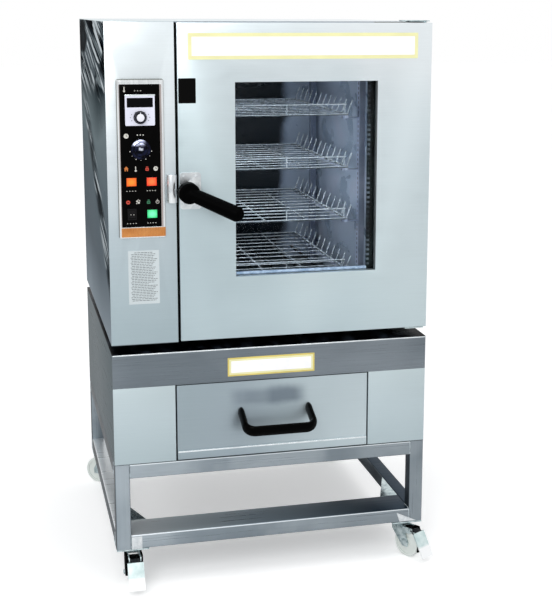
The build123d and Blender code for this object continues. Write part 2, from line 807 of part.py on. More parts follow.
# Racks
def rack():
    """A wire basket with its lower front left corner at the origin of X, Y and Z."""
    span = rack_right - rack_left
    inner0, inner1 = rack_bar, span - rack_bar
    y_first, y_last = rack_bar / 2, rack_length - rack_bar / 2
    wire_z = rack_bar - rack_wire_radius
    base = block(inner0, inner1, 0, rack_bar, 0, rack_bar)
    base += block(inner0, inner1, rack_length - rack_bar, rack_length, 0, rack_bar)
    third = span / 3
    for x in (third, 2 * third):
        base += block(x - rack_mid_bar_width / 2, x + rack_mid_bar_width / 2, rack_bar,
                      rack_length - rack_bar, 0, rack_mid_bar_height)
    wire_count = int((y_last - y_first) // rack_wire_pitch)
    step = (y_last - y_first) / wire_count
    rows = [y_first + i * step for i in range(wire_count + 1)]
    base += [rod_x(inner0, inner1, y, wire_z, rack_wire_radius) for y in rows[1:-1]]
    combs = []
    for x, lean in ((rack_bar / 2, -prong_lean), (span - rack_bar / 2, prong_lean)):
        comb = block(x - rack_bar / 2, x + rack_bar / 2, 0, rack_length, 0, rack_bar)
        prong = Rot(0, lean, 0) * Pos(0, 0, prong_length / 2) * Cylinder(rack_wire_radius, prong_length)
        comb += [Pos(x, y, rack_bar - prong_sink) * prong for y in rows]
        combs.append(comb)
    rim_z = rack_bar + rim_height
    rim = rod_x(inner0, inner1, rack_bar / 2, rim_z, rim_rod_radius)
    tick_count = int(span // rim_tick_pitch)
    tick_pitch = (inner1 - inner0 - 2 * rim_tick_inset) / tick_count
    for i in range(tick_count + 1):
        x = inner0 + rim_tick_inset + i * tick_pitch
        rim += rod_z(x, rack_bar / 2, rack_bar, rim_z, rack_wire_radius)
    return [base, *combs, rim]


basket = rack()
for index, level in enumerate(rack_levels):
    save(f"rack_{index + 1}", *[Pos(rack_left, rack_front, level) * piece for piece in basket])


# Door
def door_outer_skin():
    """Front sheet with folded edges, and a reveal round the window that holds the glass."""
    y1 = front + door_thickness - sheet
    skin = block(door_left, right, front, y1, door_bottom, door_top)
    skin -= block(door_left + sheet, right - sheet, front + sheet, y1 + 1, door_bottom + sheet,
                  door_top - sheet)
    reveal_back = front + outer_reveal
    skin += block(window_left - sheet, window_right + sheet, front + sheet, reveal_back,
                  window_bottom - sheet, window_top + sheet)
    skin -= block(window_left, window_right, front - 1, reveal_back + 1, window_bottom, window_top)
    for z in (door_bottom, door_top - sheet):
        skin -= rod_z(hinge_x, hinge_y, z - 1, z + sheet + 1, hinge_pin_radius + running_gap)
    return skin


glass_back = front + outer_reveal + pane
inner_back = front + door_thickness


def door_inner_skin():
    """Rear sheet of the door with a frame that clamps the outer pane."""
    y0 = inner_back - sheet
    skin = block(door_left, right, y0, inner_back, door_bottom, door_top)
    skin += block(window_left - sheet, window_right + sheet, glass_back, y0, window_bottom - sheet,
                  window_top + sheet)
    return skin - block(window_left, window_right, glass_back - 1, inner_back + 1, window_bottom,
                        window_top)


def glass_panes():
    """Outer pane clamped between the two skins, inner pane inside the rear frame."""
    outer = block(window_left - pane_overlap, window_right + pane_overlap, front + outer_reveal,
                  glass_back, window_bottom - pane_overlap, window_top + pane_overlap)
    inner_glass_back = inner_back - inner_pane_step
    inner = block(window_left, window_right, inner_glass_back - pane, inner_glass_back, window_bottom,
                  window_top)
    return [outer, inner]


def door_insulation():
    """A frame of mineral wool between the skins, cut back at the hinge pins."""
    gap = insulation_gap
    y0, y1 = front + sheet + gap, inner_back - sheet - gap
    wool = block(door_left + sheet + gap, right - sheet - gap, y0, y1, door_bottom + sheet + gap,
                 door_top - sheet - gap)
    clear = pane_overlap + gap
    wool -= block(window_left - clear, window_right + clear, y0 - 1, y1 + 1, window_bottom - clear,
                  window_top + clear)
    for z0, z1 in ((door_bottom, door_bottom + 2 * hinge_pin_length),
                   (door_top - 2 * hinge_pin_length, door_top)):
        wool -= block(hinge_x - bush_radius, right, y0 - 1, y1 + 1, z0, z1)
    return wool


def door_gasket():
    """Silicone ring on the door's rear sheet, round the chamber's mouth."""
    reach = gasket_margin + gasket_width
    return ring(cavity_left - reach, cavity_right + reach, inner_back, inner_back + gasket_thickness,
                cavity_bottom - reach, cavity_top + reach, gasket_width)


def hinge_brackets():
    """The plates with pins above and below the door's right edge."""
    x0, x1 = right - hinge_plate_edge - hinge_plate_width, right - hinge_plate_edge
    y0 = hinge_y - bush_radius
    y1 = y0 + hinge_plate_length
    upper = block(x0, x1, y0, y1, oven_top, oven_top + hinge_plate_thickness)
    upper += rod_z(hinge_x, hinge_y, door_top - hinge_pin_length, oven_top, hinge_pin_radius)
    lower = block(x0, x1, y0, y1, oven_base - hinge_plate_thickness, oven_base)
    lower += rod_z(hinge_x, hinge_y, oven_base, door_bottom + hinge_pin_length, hinge_pin_radius)
    return [upper, lower]


save("door_outer_skin", door_outer_skin())
save("door_inner_skin", door_inner_skin())
save("door_glass_panes", *glass_panes())
save("door_insulation", door_insulation())
save("door_gasket", door_gasket())
save("door_hinge_brackets", *hinge_brackets())


# Latch
boss_front = front - latch_plate_thickness - latch_boss_height
tongue_back = boss_front - touch_gap
tongue_front = tongue_back - tongue_thickness
keeper_right = left + column_width - keeper_edge_gap


def latch_base():
    """Plate and boss on the door's left edge, with four screws."""
    size_x, size_z = latch_plate_size
    x0 = door_left + latch_plate_from_edge
    z0 = latch_z - size_z / 2
    face = front - latch_plate_thickness
    plate = block(x0, x0 + size_x, face, front, z0, z0 + size_z)
    plate = fillet(plate.edges().filter_by(Axis.Y), latch_plate_corner)
    plate += rod_y(latch_x, boss_front, face, latch_z, latch_boss_radius)
    plate -= rod_y(latch_x, boss_front - 1, front + 1, latch_z, latch_shaft_radius + running_gap)
    pieces = [plate]
    for x in (x0 + latch_screw_inset, x0 + size_x - latch_screw_inset):
        for z in (z0 + latch_screw_inset, z0 + size_z - latch_screw_inset):
            pieces.append(rod_y(x, face - screw_head_height, face, z, screw_head_radius))
    return pieces


def latch_lever():
    """Shaft that turns in the base, and the tongue that reaches to the keeper."""
    shaft = rod_y(latch_x, tongue_front, front - 0.5, latch_z, latch_shaft_radius)
    tip = keeper_right + tongue_keeper_gap
    tongue = block(tip, latch_x, tongue_front, tongue_back, latch_z - tongue_height / 2,
                   latch_z + tongue_height / 2)
    washer = rod_y(latch_x, tongue_front, tongue_back, latch_z, latch_boss_radius)
    return shaft + tongue + washer


def latch_grip():
    """Moulded hub and a tapering grip with a round end."""
    hub = rod_y(latch_x, tongue_front - latch_hub_depth, tongue_front, latch_z, latch_hub_radius)
    hub = fillet(hub.edges().group_by(Axis.Y)[0], latch_hub_edge)
    root = Vector(latch_x, tongue_front - latch_hub_depth / 2, latch_z)
    run = Vector(*grip_run)
    along = Plane(origin=root, z_dir=run)
    cone = along * Pos(0, 0, run.length / 2) * Cone(grip_start_radius, grip_end_radius, run.length)
    end = Pos(*(root + run)) * Sphere(grip_end_radius)
    return hub + cone + end


def latch_keeper():
    """Half-round strike on the column's right edge."""
    radius = keeper_width / 2
    x = keeper_right - radius
    z0 = latch_z - keeper_height / 2 + keeper_above_latch
    nose_y = front - keeper_base_depth
    foot = block(x - radius, x + radius, nose_y, front, z0, z0 + keeper_height)
    nose = rod_z(x, nose_y, z0, z0 + keeper_height, radius)
    nose -= block(x - radius, x + radius, nose_y, nose_y + radius, z0, z0 + keeper_height)
    return foot + nose


save("latch_base", *latch_base())
save("latch_lever", latch_lever())
save("latch_grip", latch_grip())
save("latch_keeper", latch_keeper())


# Control panel
bezel_left = left + bezel_from_left
bezel_top = oven_top - bezel_below_top
overlay_left = bezel_left + bezel_side_left
overlay_right = bezel_left + bezel_width - bezel_side_right
overlay_top = bezel_top - bezel_top_edge
overlay_bottom = bezel_top - bezel_height + bezel_bottom_edge
overlay_front = front - overlay_thickness
timer_x = left + timer_centre
timer_z = oven_top - timer_below_top
controller_x = left + controller_centre
controller_top = oven_top - controller_below_top
controller_bottom = controller_top - controller_height
knob_z = controller_bottom + temperature_knob_above_edge


def control_bezel():
    plate = block(bezel_left, bezel_left + bezel_width, front - bezel_proud, front,
                  bezel_top - bezel_height, bezel_top)
    plate = fillet(plate.edges().filter_by(Axis.Y), bezel_corner)
    return plate - block(overlay_left, overlay_right, front - bezel_proud - 1, front + 1,
                         overlay_bottom, overlay_top)


def control_overlay():
    plate = block(overlay_left, overlay_right, overlay_front, front, overlay_bottom, overlay_top)
    for x, z, size_x, size_z in panel_cutouts():
        plate -= block(x - size_x / 2, x + size_x / 2, overlay_front - 1, front + 1,
                       z - size_z / 2, z + size_z / 2)
    return plate - rod_y(timer_x, overlay_front - 1, front + 1, timer_z, timer_bush_radius + touch_gap)


def controller_case():
    """Thermostat: front plate with a recessed scale window, and its case behind the column."""
    x0, x1 = controller_x - controller_width / 2, controller_x + controller_width / 2
    face = overlay_front - controller_plate
    case = block(x0, x1, face, overlay_front, controller_bottom, controller_top)
    case = fillet(case.edges().filter_by(Axis.Y), controller_corner)
    inset = controller_body_inset
    case += block(x0 + inset, x1 - inset, overlay_front, front + controller_body_depth,
                  controller_bottom + inset, controller_top - inset)
    size_x, size_z = controller_window
    top = controller_top - controller_window_below
    case -= block(controller_x - size_x / 2, controller_x + size_x / 2, face - 1,
                  face + controller_window_depth, top - size_z, top)
    return case - rod_y(controller_x, face - 1, face + knob_stem_length + knob_stem_end_gap, knob_z,
                        knob_stem_radius + running_gap)


def knob(x, face, z, radius, height):
    """A knob with a raised pointer and a stem that turns in the hole behind it."""
    near = face - touch_gap
    body = rod_y(x, near - height, near, z, radius)
    body = fillet(body.edges().group_by(Axis.Y)[0], knob_edge)
    body += block(x - pointer_width / 2, x + pointer_width / 2, near - height - pointer_proud,
                  near - height + 1, z, z + radius - knob_edge)
    return body + rod_y(x, near, face + knob_stem_length, z, knob_stem_radius)


def timer_body():
    """Clockwork case behind the column, its bush, and the dial in front."""
    half = timer_case / 2
    case_front = front + sheet + touch_gap
    case = block(timer_x - half, timer_x + half, case_front, case_front + timer_case_depth,
                 timer_z - half, timer_z + half)
    dial_front = overlay_front - timer_dial_thickness
    case += rod_y(timer_x, dial_front, case_front, timer_z, timer_bush_radius)
    case += rod_y(timer_x, dial_front, overlay_front, timer_z, timer_dial_radius)
    return case - rod_y(timer_x, dial_front - 1, dial_front + knob_stem_length + knob_stem_end_gap,
                        timer_z, knob_stem_radius + running_gap)


def lamp(x, z):
    """A square lens with its body through the overlay and the column."""
    half_x, half_z = lamp_width / 2, lamp_height / 2
    lens = block(x - half_x, x + half_x, overlay_front - lamp_proud, overlay_front, z - half_z,
                 z + half_z)
    lens = chamfer(lens.faces().sort_by(Axis.Y)[0].edges(), lamp_edge)
    body_x, body_z = half_x - lamp_body_inset, half_z - lamp_body_inset
    return lens + block(x - body_x, x + body_x, overlay_front, front + lamp_body_depth,
                        z - body_z, z + body_z)


rocker_x = left + lamp_left
rocker_z = oven_top - lamp_low_below_top
rocker_pivot_y = overlay_front + rocker_pivot_behind


def rocker_housing():
    """Frame and case of the mains switch, open in front for the paddle."""
    half_x, half_z = rocker_width / 2, rocker_height / 2
    shell = block(rocker_x - half_x, rocker_x + half_x, overlay_front - rocker_frame_proud,
                  overlay_front, rocker_z - half_z, rocker_z + half_z)
    body_x, body_z = half_x - lamp_body_inset, half_z - lamp_body_inset
    shell += block(rocker_x - body_x, rocker_x + body_x, overlay_front, front + lamp_body_depth,
                   rocker_z - body_z, rocker_z + body_z)
    well_x, well_z = half_x - rocker_frame, half_z - rocker_frame
    shell -= block(rocker_x - well_x, rocker_x + well_x, overlay_front - rocker_frame_proud - 1,
                   front + rocker_well_depth, rocker_z - well_z, rocker_z + well_z)
    pivot_x = well_x + rocker_pivot_reach
    return shell - rod_x(rocker_x - pivot_x, rocker_x + pivot_x, rocker_pivot_y, rocker_z,
                         rocker_pivot_radius + running_gap)


def rocker_paddle():
    """A shallow V-shaped paddle on two pivots, tipped to its off position."""
    half_x = rocker_width / 2 - rocker_frame - rocker_gap
    half_z = rocker_height / 2 - rocker_frame - rocker_end_gap
    root_z = half_z - rocker_root_inset
    profile = [(-rocker_end_depth, -half_z), (-rocker_middle_depth, 0), (-rocker_end_depth, half_z),
               (rocker_root_depth, root_z), (rocker_root_depth, -root_z)]
    body = side_plate(-half_x, half_x, profile)
    pin_x = half_x + rocker_gap / 2 + rocker_pivot_reach
    body += rod_x(-pin_x, pin_x, 0, 0, rocker_pivot_radius)
    return Pos(rocker_x, rocker_pivot_y, rocker_z) * Rot(-rocker_tilt, 0, 0) * body


def control_electrics():
    """Mounting plate on the partition with a contactor, a relay and a terminal block."""
    thickness, length, height = electrics_plate
    x1 = left + column_width - sheet
    face = x1 - thickness
    y0, z0 = front + electrics_from_front, oven_base + electrics_above_base
    pieces = [block(face, x1, y0, y0 + length, z0, z0 + height)]
    for (out, size_y, size_z), (dy, dz) in ((contactor_size, contactor_place),
                                            (relay_size, relay_place),
                                            (terminals_size, terminals_place)):
        pieces.append(block(face - out, face, y0 + dy, y0 + dy + size_y, z0 + dz, z0 + dz + size_z))
    return pieces


def cable_gland():
    """Gland for the supply cable: a body through the back sheet, a nut and a domed cap."""
    nut_back = back + gland_nut_length
    body = rod_y(gland_x, back - gland_body_length, back + 1, gland_z, gland_body_radius)
    nut = Pos(gland_x, (back + nut_back) / 2, gland_z) * Rot(90, 0, 0) * extrude(
        RegularPolygon(gland_nut_radius, 6), gland_nut_length / 2, both=True)
    dome = rod_y(gland_x, nut_back, back + back_reach, gland_z, gland_body_radius)
    dome = fillet(dome.edges().group_by(Axis.Y)[-1], gland_dome_edge)
    gland = body + nut + dome
    return gland - rod_y(gland_x, back - gland_body_length - 1, back + back_reach + 1, gland_z,
                         gland_bore_radius)


save("control_bezel", control_bezel())
save("control_overlay", control_overlay())
save("controller_case", controller_case())
save("temperature_knob", knob(controller_x, overlay_front - controller_plate, knob_z,
                              temperature_knob_radius, temperature_knob_height))
save("timer_body", timer_body())
save("timer_knob", knob(timer_x, overlay_front - timer_dial_thickness, timer_z, timer_knob_radius,
                        timer_knob_height))
for lamp_name, (lamp_x, lamp_z) in zip(("lamp_orange", "lamp_red", "lamp_green"), lamp_places()):
    save(lamp_name, lamp(lamp_x, lamp_z))
save("rocker_housing", rocker_housing())
save("rocker_paddle", rocker_paddle())
save("control_electrics", *control_electrics())
save("cable_gland", cable_gland())
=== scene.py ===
import json
from math import cos, pi, radians, sin

import bmesh
import bpy
from mathutils import Matrix, Vector

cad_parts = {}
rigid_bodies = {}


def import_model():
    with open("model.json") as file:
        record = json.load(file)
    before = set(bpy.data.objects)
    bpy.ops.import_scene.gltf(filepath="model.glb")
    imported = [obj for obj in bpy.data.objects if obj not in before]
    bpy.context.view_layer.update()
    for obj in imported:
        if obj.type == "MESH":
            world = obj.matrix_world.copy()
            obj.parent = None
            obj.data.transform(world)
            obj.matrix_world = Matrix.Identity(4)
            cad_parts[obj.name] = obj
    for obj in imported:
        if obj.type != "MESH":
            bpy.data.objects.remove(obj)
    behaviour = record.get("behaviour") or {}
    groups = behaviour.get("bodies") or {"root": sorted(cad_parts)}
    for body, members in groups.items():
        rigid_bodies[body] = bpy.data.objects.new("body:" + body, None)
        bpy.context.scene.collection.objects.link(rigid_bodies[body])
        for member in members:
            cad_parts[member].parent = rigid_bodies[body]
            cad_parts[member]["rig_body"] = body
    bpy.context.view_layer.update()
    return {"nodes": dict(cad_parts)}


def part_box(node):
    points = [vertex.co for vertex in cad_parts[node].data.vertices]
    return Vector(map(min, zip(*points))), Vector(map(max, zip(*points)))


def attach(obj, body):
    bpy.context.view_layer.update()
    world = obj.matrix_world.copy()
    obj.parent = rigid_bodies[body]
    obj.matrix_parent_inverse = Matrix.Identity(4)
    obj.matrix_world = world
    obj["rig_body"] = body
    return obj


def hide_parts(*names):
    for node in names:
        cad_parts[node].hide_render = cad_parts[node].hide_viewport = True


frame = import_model()
nodes = frame["nodes"]
MM = 0.001
gamma = 2.2

# Planes and levels of the roaster, read from its own sub-parts
column_low, column_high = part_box("control_column")
left, front = column_low.xy
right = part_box("oven_right_panel")[1].x
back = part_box("oven_back_panel")[1].y
oven_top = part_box("oven_top_panel")[1].z
stand_low, stand_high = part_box("stand_legs")
overlay_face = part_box("control_overlay")[0].y
band_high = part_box("warmer_front_band")[1]


def across(distance):
    """A place on the front, in millimetres from the left side."""
    return left + distance * MM


def down(distance):
    """A level in millimetres below the oven's top."""
    return oven_top - distance * MM


# Middles of the knobs and their scales, across and down, and the way they face
dial_x, temperature_level, timer_level = 82, 230, 308
forward = Vector((0, -1, 0))


# Nodes of the finishes
def paint(levels):
    """A colour from its three levels on a scale of 255."""
    return (*((level / 255) ** gamma for level in levels), 1)


def put(socket, value):
    """Links a socket to a value, or sets it. Colours are given by their levels."""
    if isinstance(value, bpy.types.NodeSocket):
        socket.id_data.links.new(value, socket)
    elif socket.type == "RGBA":
        socket.default_value = paint(value)
    else:
        socket.default_value = value


def set_inputs(node, **inputs):
    for name, value in inputs.items():
        put(node.inputs[name.replace("_", " ")], value)
    return node


def added(tree, kind, **inputs):
    """A new node with its inputs set or linked."""
    return set_inputs(tree.nodes.new("ShaderNode" + kind), **inputs)


def look(material, **inputs):
    """Sets or feeds the inputs of the material's shader."""
    set_inputs(material.node_tree.nodes["Principled BSDF"], **inputs)
    return material


def finish(name, colour, metallic, roughness, **more):
    material = bpy.data.materials.new(name)
    material.use_nodes = True
    look(material, Base_Color=colour, Metallic=metallic, Roughness=roughness, **more)
    return material, material.node_tree


def place(tree, stretch=(1, 1, 1), shift=(0, 0, 0)):
    """Object coordinates, stretched and moved."""
    coordinates = added(tree, "TexCoord").outputs["Object"]
    return added(tree, "Mapping", Vector=coordinates, Scale=stretch, Location=shift).outputs["Vector"]


def leaning(tree, stretch, lean):
    """Object coordinates, squeezed along the Y axis after a turn about X."""
    node = added(tree, "Mapping", Vector=place(tree), Scale=(1, 1 / stretch, 1), Rotation=(lean, 0, 0))
    node.vector_type = "TEXTURE"
    return node.outputs["Vector"]


def noise(tree, scale, stretch=(1, 1, 1), detail=2.0, distortion=0.0, vector=None):
    return added(tree, "TexNoise", Vector=vector or place(tree, stretch), Scale=scale, Detail=detail,
                 Distortion=distortion).outputs["Fac"]


def halo(tree, centre, stretch):
    """One at a centre, fading to nought around it."""
    shift = tuple(-scale * middle for scale, middle in zip(stretch, centre))
    ball = added(tree, "TexGradient", Vector=place(tree, stretch, shift))
    ball.gradient_type = "SPHERICAL"
    return ball.outputs["Fac"]


def height(tree, axis="Z"):
    """The place along an axis, upwards unless another is named."""
    return added(tree, "SeparateXYZ", Vector=place(tree)).outputs[axis]


def spread(value, low, high, to_low=0.0, to_high=1.0, interpolation="LINEAR"):
    """Carries a value from one range to another, and holds it at the ends."""
    node = added(value.id_data, "MapRange", Value=value, From_Min=low, From_Max=high, To_Min=to_low,
                 To_Max=to_high)
    node.interpolation_type = interpolation
    return node.outputs["Result"]


def eased(value, low, high):
    return spread(value, low, high, interpolation="SMOOTHSTEP")


def varied(value, to_low, to_high):
    """Carries the usual range of a noise to another range."""
    return spread(value, 0.3, 0.7, to_low, to_high)


def sums(kind, first, *others):
    """Does a sum with a value and each of the others in turn."""
    for other in others:
        node = added(first.id_data, "Math")
        node.operation = kind
        put(node.inputs[0], first)
        put(node.inputs[1], other)
        first = node.outputs[0]
    return first


def times(*values):
    return sums("MULTIPLY", *values)


def plus(*values):
    return sums("ADD", *values)


def larger(*values):
    return sums("MAXIMUM", *values)


def apart(value, middle):
    """How far a value is from a middle."""
    return sums("ABSOLUTE", sums("SUBTRACT", value, middle), 0.0)


def shades(value, *stops):
    """A colour ramp from pairs of a position and a colour."""
    node = added(value.id_data, "ValToRGB", Fac=value)
    elements = node.color_ramp.elements
    while len(elements) < len(stops):
        elements.new(0.5)
    for element, (position, colour) in zip(elements, stops):
        element.position = position
        element.color = paint(colour)
    return node.outputs["Color"]


def mixed(share, first, second, kind="MIX"):
    tree = next(value.id_data for value in (share, first, second) if isinstance(value, bpy.types.NodeSocket))
    node = tree.nodes.new("ShaderNodeMix")
    node.data_type = "RGBA"
    node.blend_type = kind
    factor, colour_a, colour_b = 0, 6, 7
    for index, value in ((factor, share), (colour_a, first), (colour_b, second)):
        put(node.inputs[index], value)
    return node.outputs[2]


def streaked(colour, lines, shade, low=0.3, high=0.7):
    """Dims a colour along fine lines, down to a share of its light."""
    return mixed(1.0, colour, spread(lines, low, high, shade, 1.0), "MULTIPLY")


def dent(value, strength, distance=MM):
    return added(value.id_data, "Bump", Height=value, Strength=strength, Distance=distance).outputs["Normal"]


# Finishes
def brushed(name, bright, dark, roughness, stretch):
    """Brushed sheet: soft clouds of tone, and fine grain lines."""
    material, tree = finish(name, bright, 0.9, roughness)
    clouds = noise(tree, 2.0, detail=3.0, distortion=0.4)
    lines = noise(tree, 1.0, stretch, detail=3.0)
    tone = shades(clouds, (0.35, dark), (0.65, bright))
    return look(material, Base_Color=streaked(tone, lines, 0.86), Normal=dent(lines, 0.12, 0.3 * MM),
                Roughness=varied(lines, roughness - 0.05, roughness + 0.08))


def filmed_casing(name, stops, low, high, across_shift=0.0):
    """Satin steel under clear film: a painted reflection whose tone changes slowly with height, and towards
    the right by across_shift, and faint creases.
    """
    material, tree = finish(name, stops[-1][1], 0.75, 0.34)
    # Painted reflection: the tone follows the height, then the place from left to right.
    level = spread(height(tree), low, high)
    clouds = noise(tree, 2.2, (1, 1, 0.5), distortion=0.8)
    sideways_reflection = spread(height(tree, "X"), left, right, -across_shift, across_shift)
    tone = shades(plus(level, varied(clouds, -0.12, 0.12), sideways_reflection), *stops)
    lines = noise(tree, 1.0, (6, 6, 700))
    creases = noise(tree, 9.0, (1, 1, 2.5), detail=6.0, distortion=1.2)
    return look(material, Base_Color=streaked(tone, lines, 0.965), Roughness=varied(creases, 0.3, 0.42),
                Normal=dent(creases, 0.1, 2 * MM))


def side_film():
    """Dark mirror sheet under loose film, its mirroring painted: a painted reflection, lighter low down and
    dark near the top, and crumpled film near the top and along a slanting fold, with painted highlights on
    its ridges and painted dark patches.
    """
    material, tree = finish("side_film", (90, 96, 100), 0.25, 0.42, Specular_IOR_Level=0.0,
                            Specular_Tint=(97.3, 100.9, 104.3))
    level, depth = height(tree), height(tree, "Y")
    slow = noise(tree, 2.0, (1, 0.6, 1), distortion=0.6)
    shade_low, shade_high = 0.65, 1.45
    # Painted reflection: lighter low down, dark near the top.
    plain_reflection = shades(plus(spread(level, shade_low, shade_high), varied(slow, -0.06, 0.06)),
                   (0.0, (148, 158, 166)), (0.25, (104, 113, 120)), (0.5, (102, 113, 119)),
                   (0.66, (116, 128, 132)), (0.8, (44, 54, 58)), (1.0, (42, 50, 56)))
    coarse = noise(tree, 17.0, detail=4.0, distortion=0.9, vector=leaning(tree, 0.045, radians(10)))
    fine = noise(tree, 48.0, detail=3.0, distortion=0.6, vector=leaning(tree, 0.04, radians(14)))
    blotch = noise(tree, 7.0, (1, 0.3, 1))
    # Painted highlights on the ridges of the folds, and painted dark in their troughs.
    folds = shades(coarse, (0.4, (4, 7, 12)), (0.47, (30, 38, 45)), (0.5, (128, 138, 142)),
                   (0.54, (22, 30, 36)), (0.6, (92, 101, 106)))
    # Painted glints, and painted dark patches in the crumpled film.
    glints = times(spread(fine, 0.52, 0.56), spread(blotch, 0.44, 0.56))
    lit = mixed(spread(glints, 0.2, 0.6), folds, (196, 204, 208))
    crumpled = mixed(spread(blotch, 0.48, 0.42, 0.0, 0.9), lit, (4, 6, 10))
    fold_slope, fold_level = 0.62, oven_top - 0.415
    slant = plus(times(depth, fold_slope), fold_level)
    along = times(spread(apart(level, slant), 0.03, 0.08, 0.85, 0.0),
                  spread(level, oven_top - 0.2, oven_top - 0.3))
    upper = eased(plus(level, varied(coarse, -0.03, 0.03)), oven_top - 0.215, oven_top - 0.15)
    loose = times(larger(upper, along), spread(blotch, 0.24, 0.34))
    return look(material, Base_Color=mixed(loose, plain_reflection, crumpled), Roughness=varied(blotch, 0.38, 0.48),
                Normal=dent(times(coarse, loose), 0.2))


def tube_steel(name, stretch):
    """Polished square tube: the front is bright and darkens to the right with painted shade, the sides carry
    painted shade, the top a painted reflection of the dark underside that is lighter to the left, and the
    rounded edges along the top a painted highlight.
    """
    material, tree = finish(name, (150, 160, 168), 0.7, 0.32, Specular_Tint=(186.1,) * 3)
    facing = added(tree, "SeparateXYZ", Vector=added(tree, "NewGeometry").outputs["Normal"]).outputs
    clouds = noise(tree, 5.0, detail=3.0, distortion=0.5)
    lines = noise(tree, 1.0, stretch, detail=3.0)
    bright = shades(clouds, (0.35, (136, 147, 155)), (0.65, (166, 176, 183)))
    # Painted shade for the sides.
    shaded = shades(clouds, (0.35, (44, 54, 64)), (0.65, (86, 96, 104)))
    # Painted reflection on the top, lighter to the left, and painted shade darkening the front to the right.
    rightward = spread(height(tree, "X"), left, right)
    mirrored = shades(rightward, (0.0, (244, 248, 250)), (0.2, (214, 226, 232)),
                      (0.45, (166, 182, 194)), (0.85, (48, 64, 78)))
    dimmed = shades(rightward, (0.0, (255,) * 3), (0.5, (233,) * 3), (1.0, (222.38,) * 3))
    topped = mixed(spread(facing["Z"], 0.5, 0.9), mixed(1.0, bright, dimmed, "MULTIPLY"), mirrored)
    # Painted highlight on the rounded edges along the top.
    rim = times(spread(facing["Z"], 0.1, 0.3), spread(facing["Z"], 0.8, 0.5))
    edge_highlighted = mixed(rim, topped, (226, 234, 238))
    sided = mixed(spread(apart(facing["X"], 0.0), 0.5, 0.9), edge_highlighted, shaded)
    return look(material, Base_Color=streaked(sided, lines, 0.9, 0.25, 0.75),
                Roughness=varied(lines, 0.26, 0.4), Normal=dent(lines, 0.1, 0.3 * MM))


def hood_sheet():
    """Warming hood: its top carries a painted reflection of the dark underside of the oven, and its sides
    are satin.
    """
    material, tree = finish("hood_steel", (88, 95, 100), 0.4, 0.3, Specular_IOR_Level=0.0)
    lines = noise(tree, 1.0, (5, 5, 260))
    side = shades(lines, (0.3, (84, 94, 98)), (0.7, (95, 105, 109)))
    # Painted reflection of the dark underside of the oven, for the top.
    underside_reflection = shades(noise(tree, 34.0, (1, 0.3, 1), detail=4.0), (0.5, (5, 7, 12)), (0.7, (46, 52, 60)))
    top = spread(height(tree), band_high.z - 1.6 * MM, band_high.z - 1.0 * MM)
    return look(material, Base_Color=mixed(top, side, underside_reflection), Roughness=varied(lines, 0.26, 0.38),
                Normal=dent(lines, 0.08, 0.3 * MM))


def drawer_sheet():
    """Satin drawer face with painted reflections: darker to the left, a soft dark reflection of its handle
    above the handle, and a fainter painted shade in a band below that reflection.
    """
    material, tree = finish("drawer_sheet", (170, 184, 190), 0.7, 0.34)
    side, level = height(tree, "X"), height(tree)
    clouds = noise(tree, 3.0, (1, 1, 0.6), distortion=0.8)
    # Painted reflection: darker to the left.
    tone = shades(plus(spread(side, across(160), across(670)), varied(clouds, -0.1, 0.1)),
                  (0.0, (148, 162, 169)), (0.3, (152, 165, 173)), (0.6, (168, 182, 188)),
                  (1.0, (186, 199, 204)))
    # Painted reflection of the handle: a soft dark patch, wide by tall, broken up by patchy.
    wander = varied(noise(tree, 12.0, detail=3.0), -0.004, 0.004)
    edge, ragged = plus(side, wander), plus(level, wander)
    wide = times(eased(edge, across(286), across(326)), eased(edge, across(516), across(466)))
    tall = times(eased(ragged, down(990), down(968)), eased(ragged, down(922), down(952)))
    patchy = spread(noise(tree, 11.0, (1, 1, 0.2), detail=1.0), 0.42, 0.58, 0.45, 0.8)
    # A fainter painted shade in a band below that reflection.
    below = times(wide, spread(level, down(1040), down(1020)), spread(level, down(970), down(984)))
    dimmed = mixed(times(below, 0.35), tone, (132, 146, 156))
    shaded = mixed(times(wide, tall, patchy), dimmed, (96, 108, 120))
    lines = noise(tree, 1.0, (6, 6, 600))
    return look(material, Base_Color=streaked(shaded, lines, 0.96), Roughness=varied(clouds, 0.3, 0.4),
                Normal=dent(lines, 0.05, 0.3 * MM))


def pedal_metal():
    """Bright zinc that turns to a white plastic dip on the toe, and black on its top."""
    material, tree = finish("pedal_metal", (208, 222, 222), 0.6, 0.34)
    fine = noise(tree, 60.0, detail=3.0)
    plate_tone = shades(fine, (0.35, (190, 210, 210)), (0.65, (214, 228, 228)))
    level = height(tree)
    coated = mixed(spread(level, 0.046, 0.04), plate_tone, (244, 246, 247))
    capped = mixed(spread(level, 0.0775, 0.079), coated, (16, 22, 26))
    return look(material, Base_Color=capped, Roughness=varied(fine, 0.3, 0.42),
                Normal=dent(fine, 0.05, 0.2 * MM))


def plastic(name, colour, roughness, bump=0.06, mottle=0.12, gloss=0.5):
    """Moulded or painted surface, with a fine grain and slow mottling."""
    material, tree = finish(name, colour, 0.0, roughness, Specular_IOR_Level=gloss)
    fine = noise(tree, 420)
    darker = tuple(level * (1 - mottle) ** (1 / gamma) for level in colour)
    return look(material, Base_Color=shades(noise(tree, 14.0, detail=3.0), (0.3, darker), (0.7, colour)),
                Roughness=varied(fine, roughness - 0.05, roughness + 0.06),
                Normal=dent(fine, bump, 0.2 * MM))


def plated(name, bright, dark, roughness, metallic=1.0):
    """Chrome or zinc plating, with faint clouding."""
    material, tree = finish(name, bright, metallic, roughness)
    clouds = noise(tree, 60.0, detail=4.0, distortion=0.6)
    return look(material, Base_Color=shades(clouds, (0.35, dark), (0.6, bright)),
                Roughness=varied(clouds, roughness + 0.08, roughness),
                Normal=dent(noise(tree, 300.0), 0.05, 0.2 * MM))


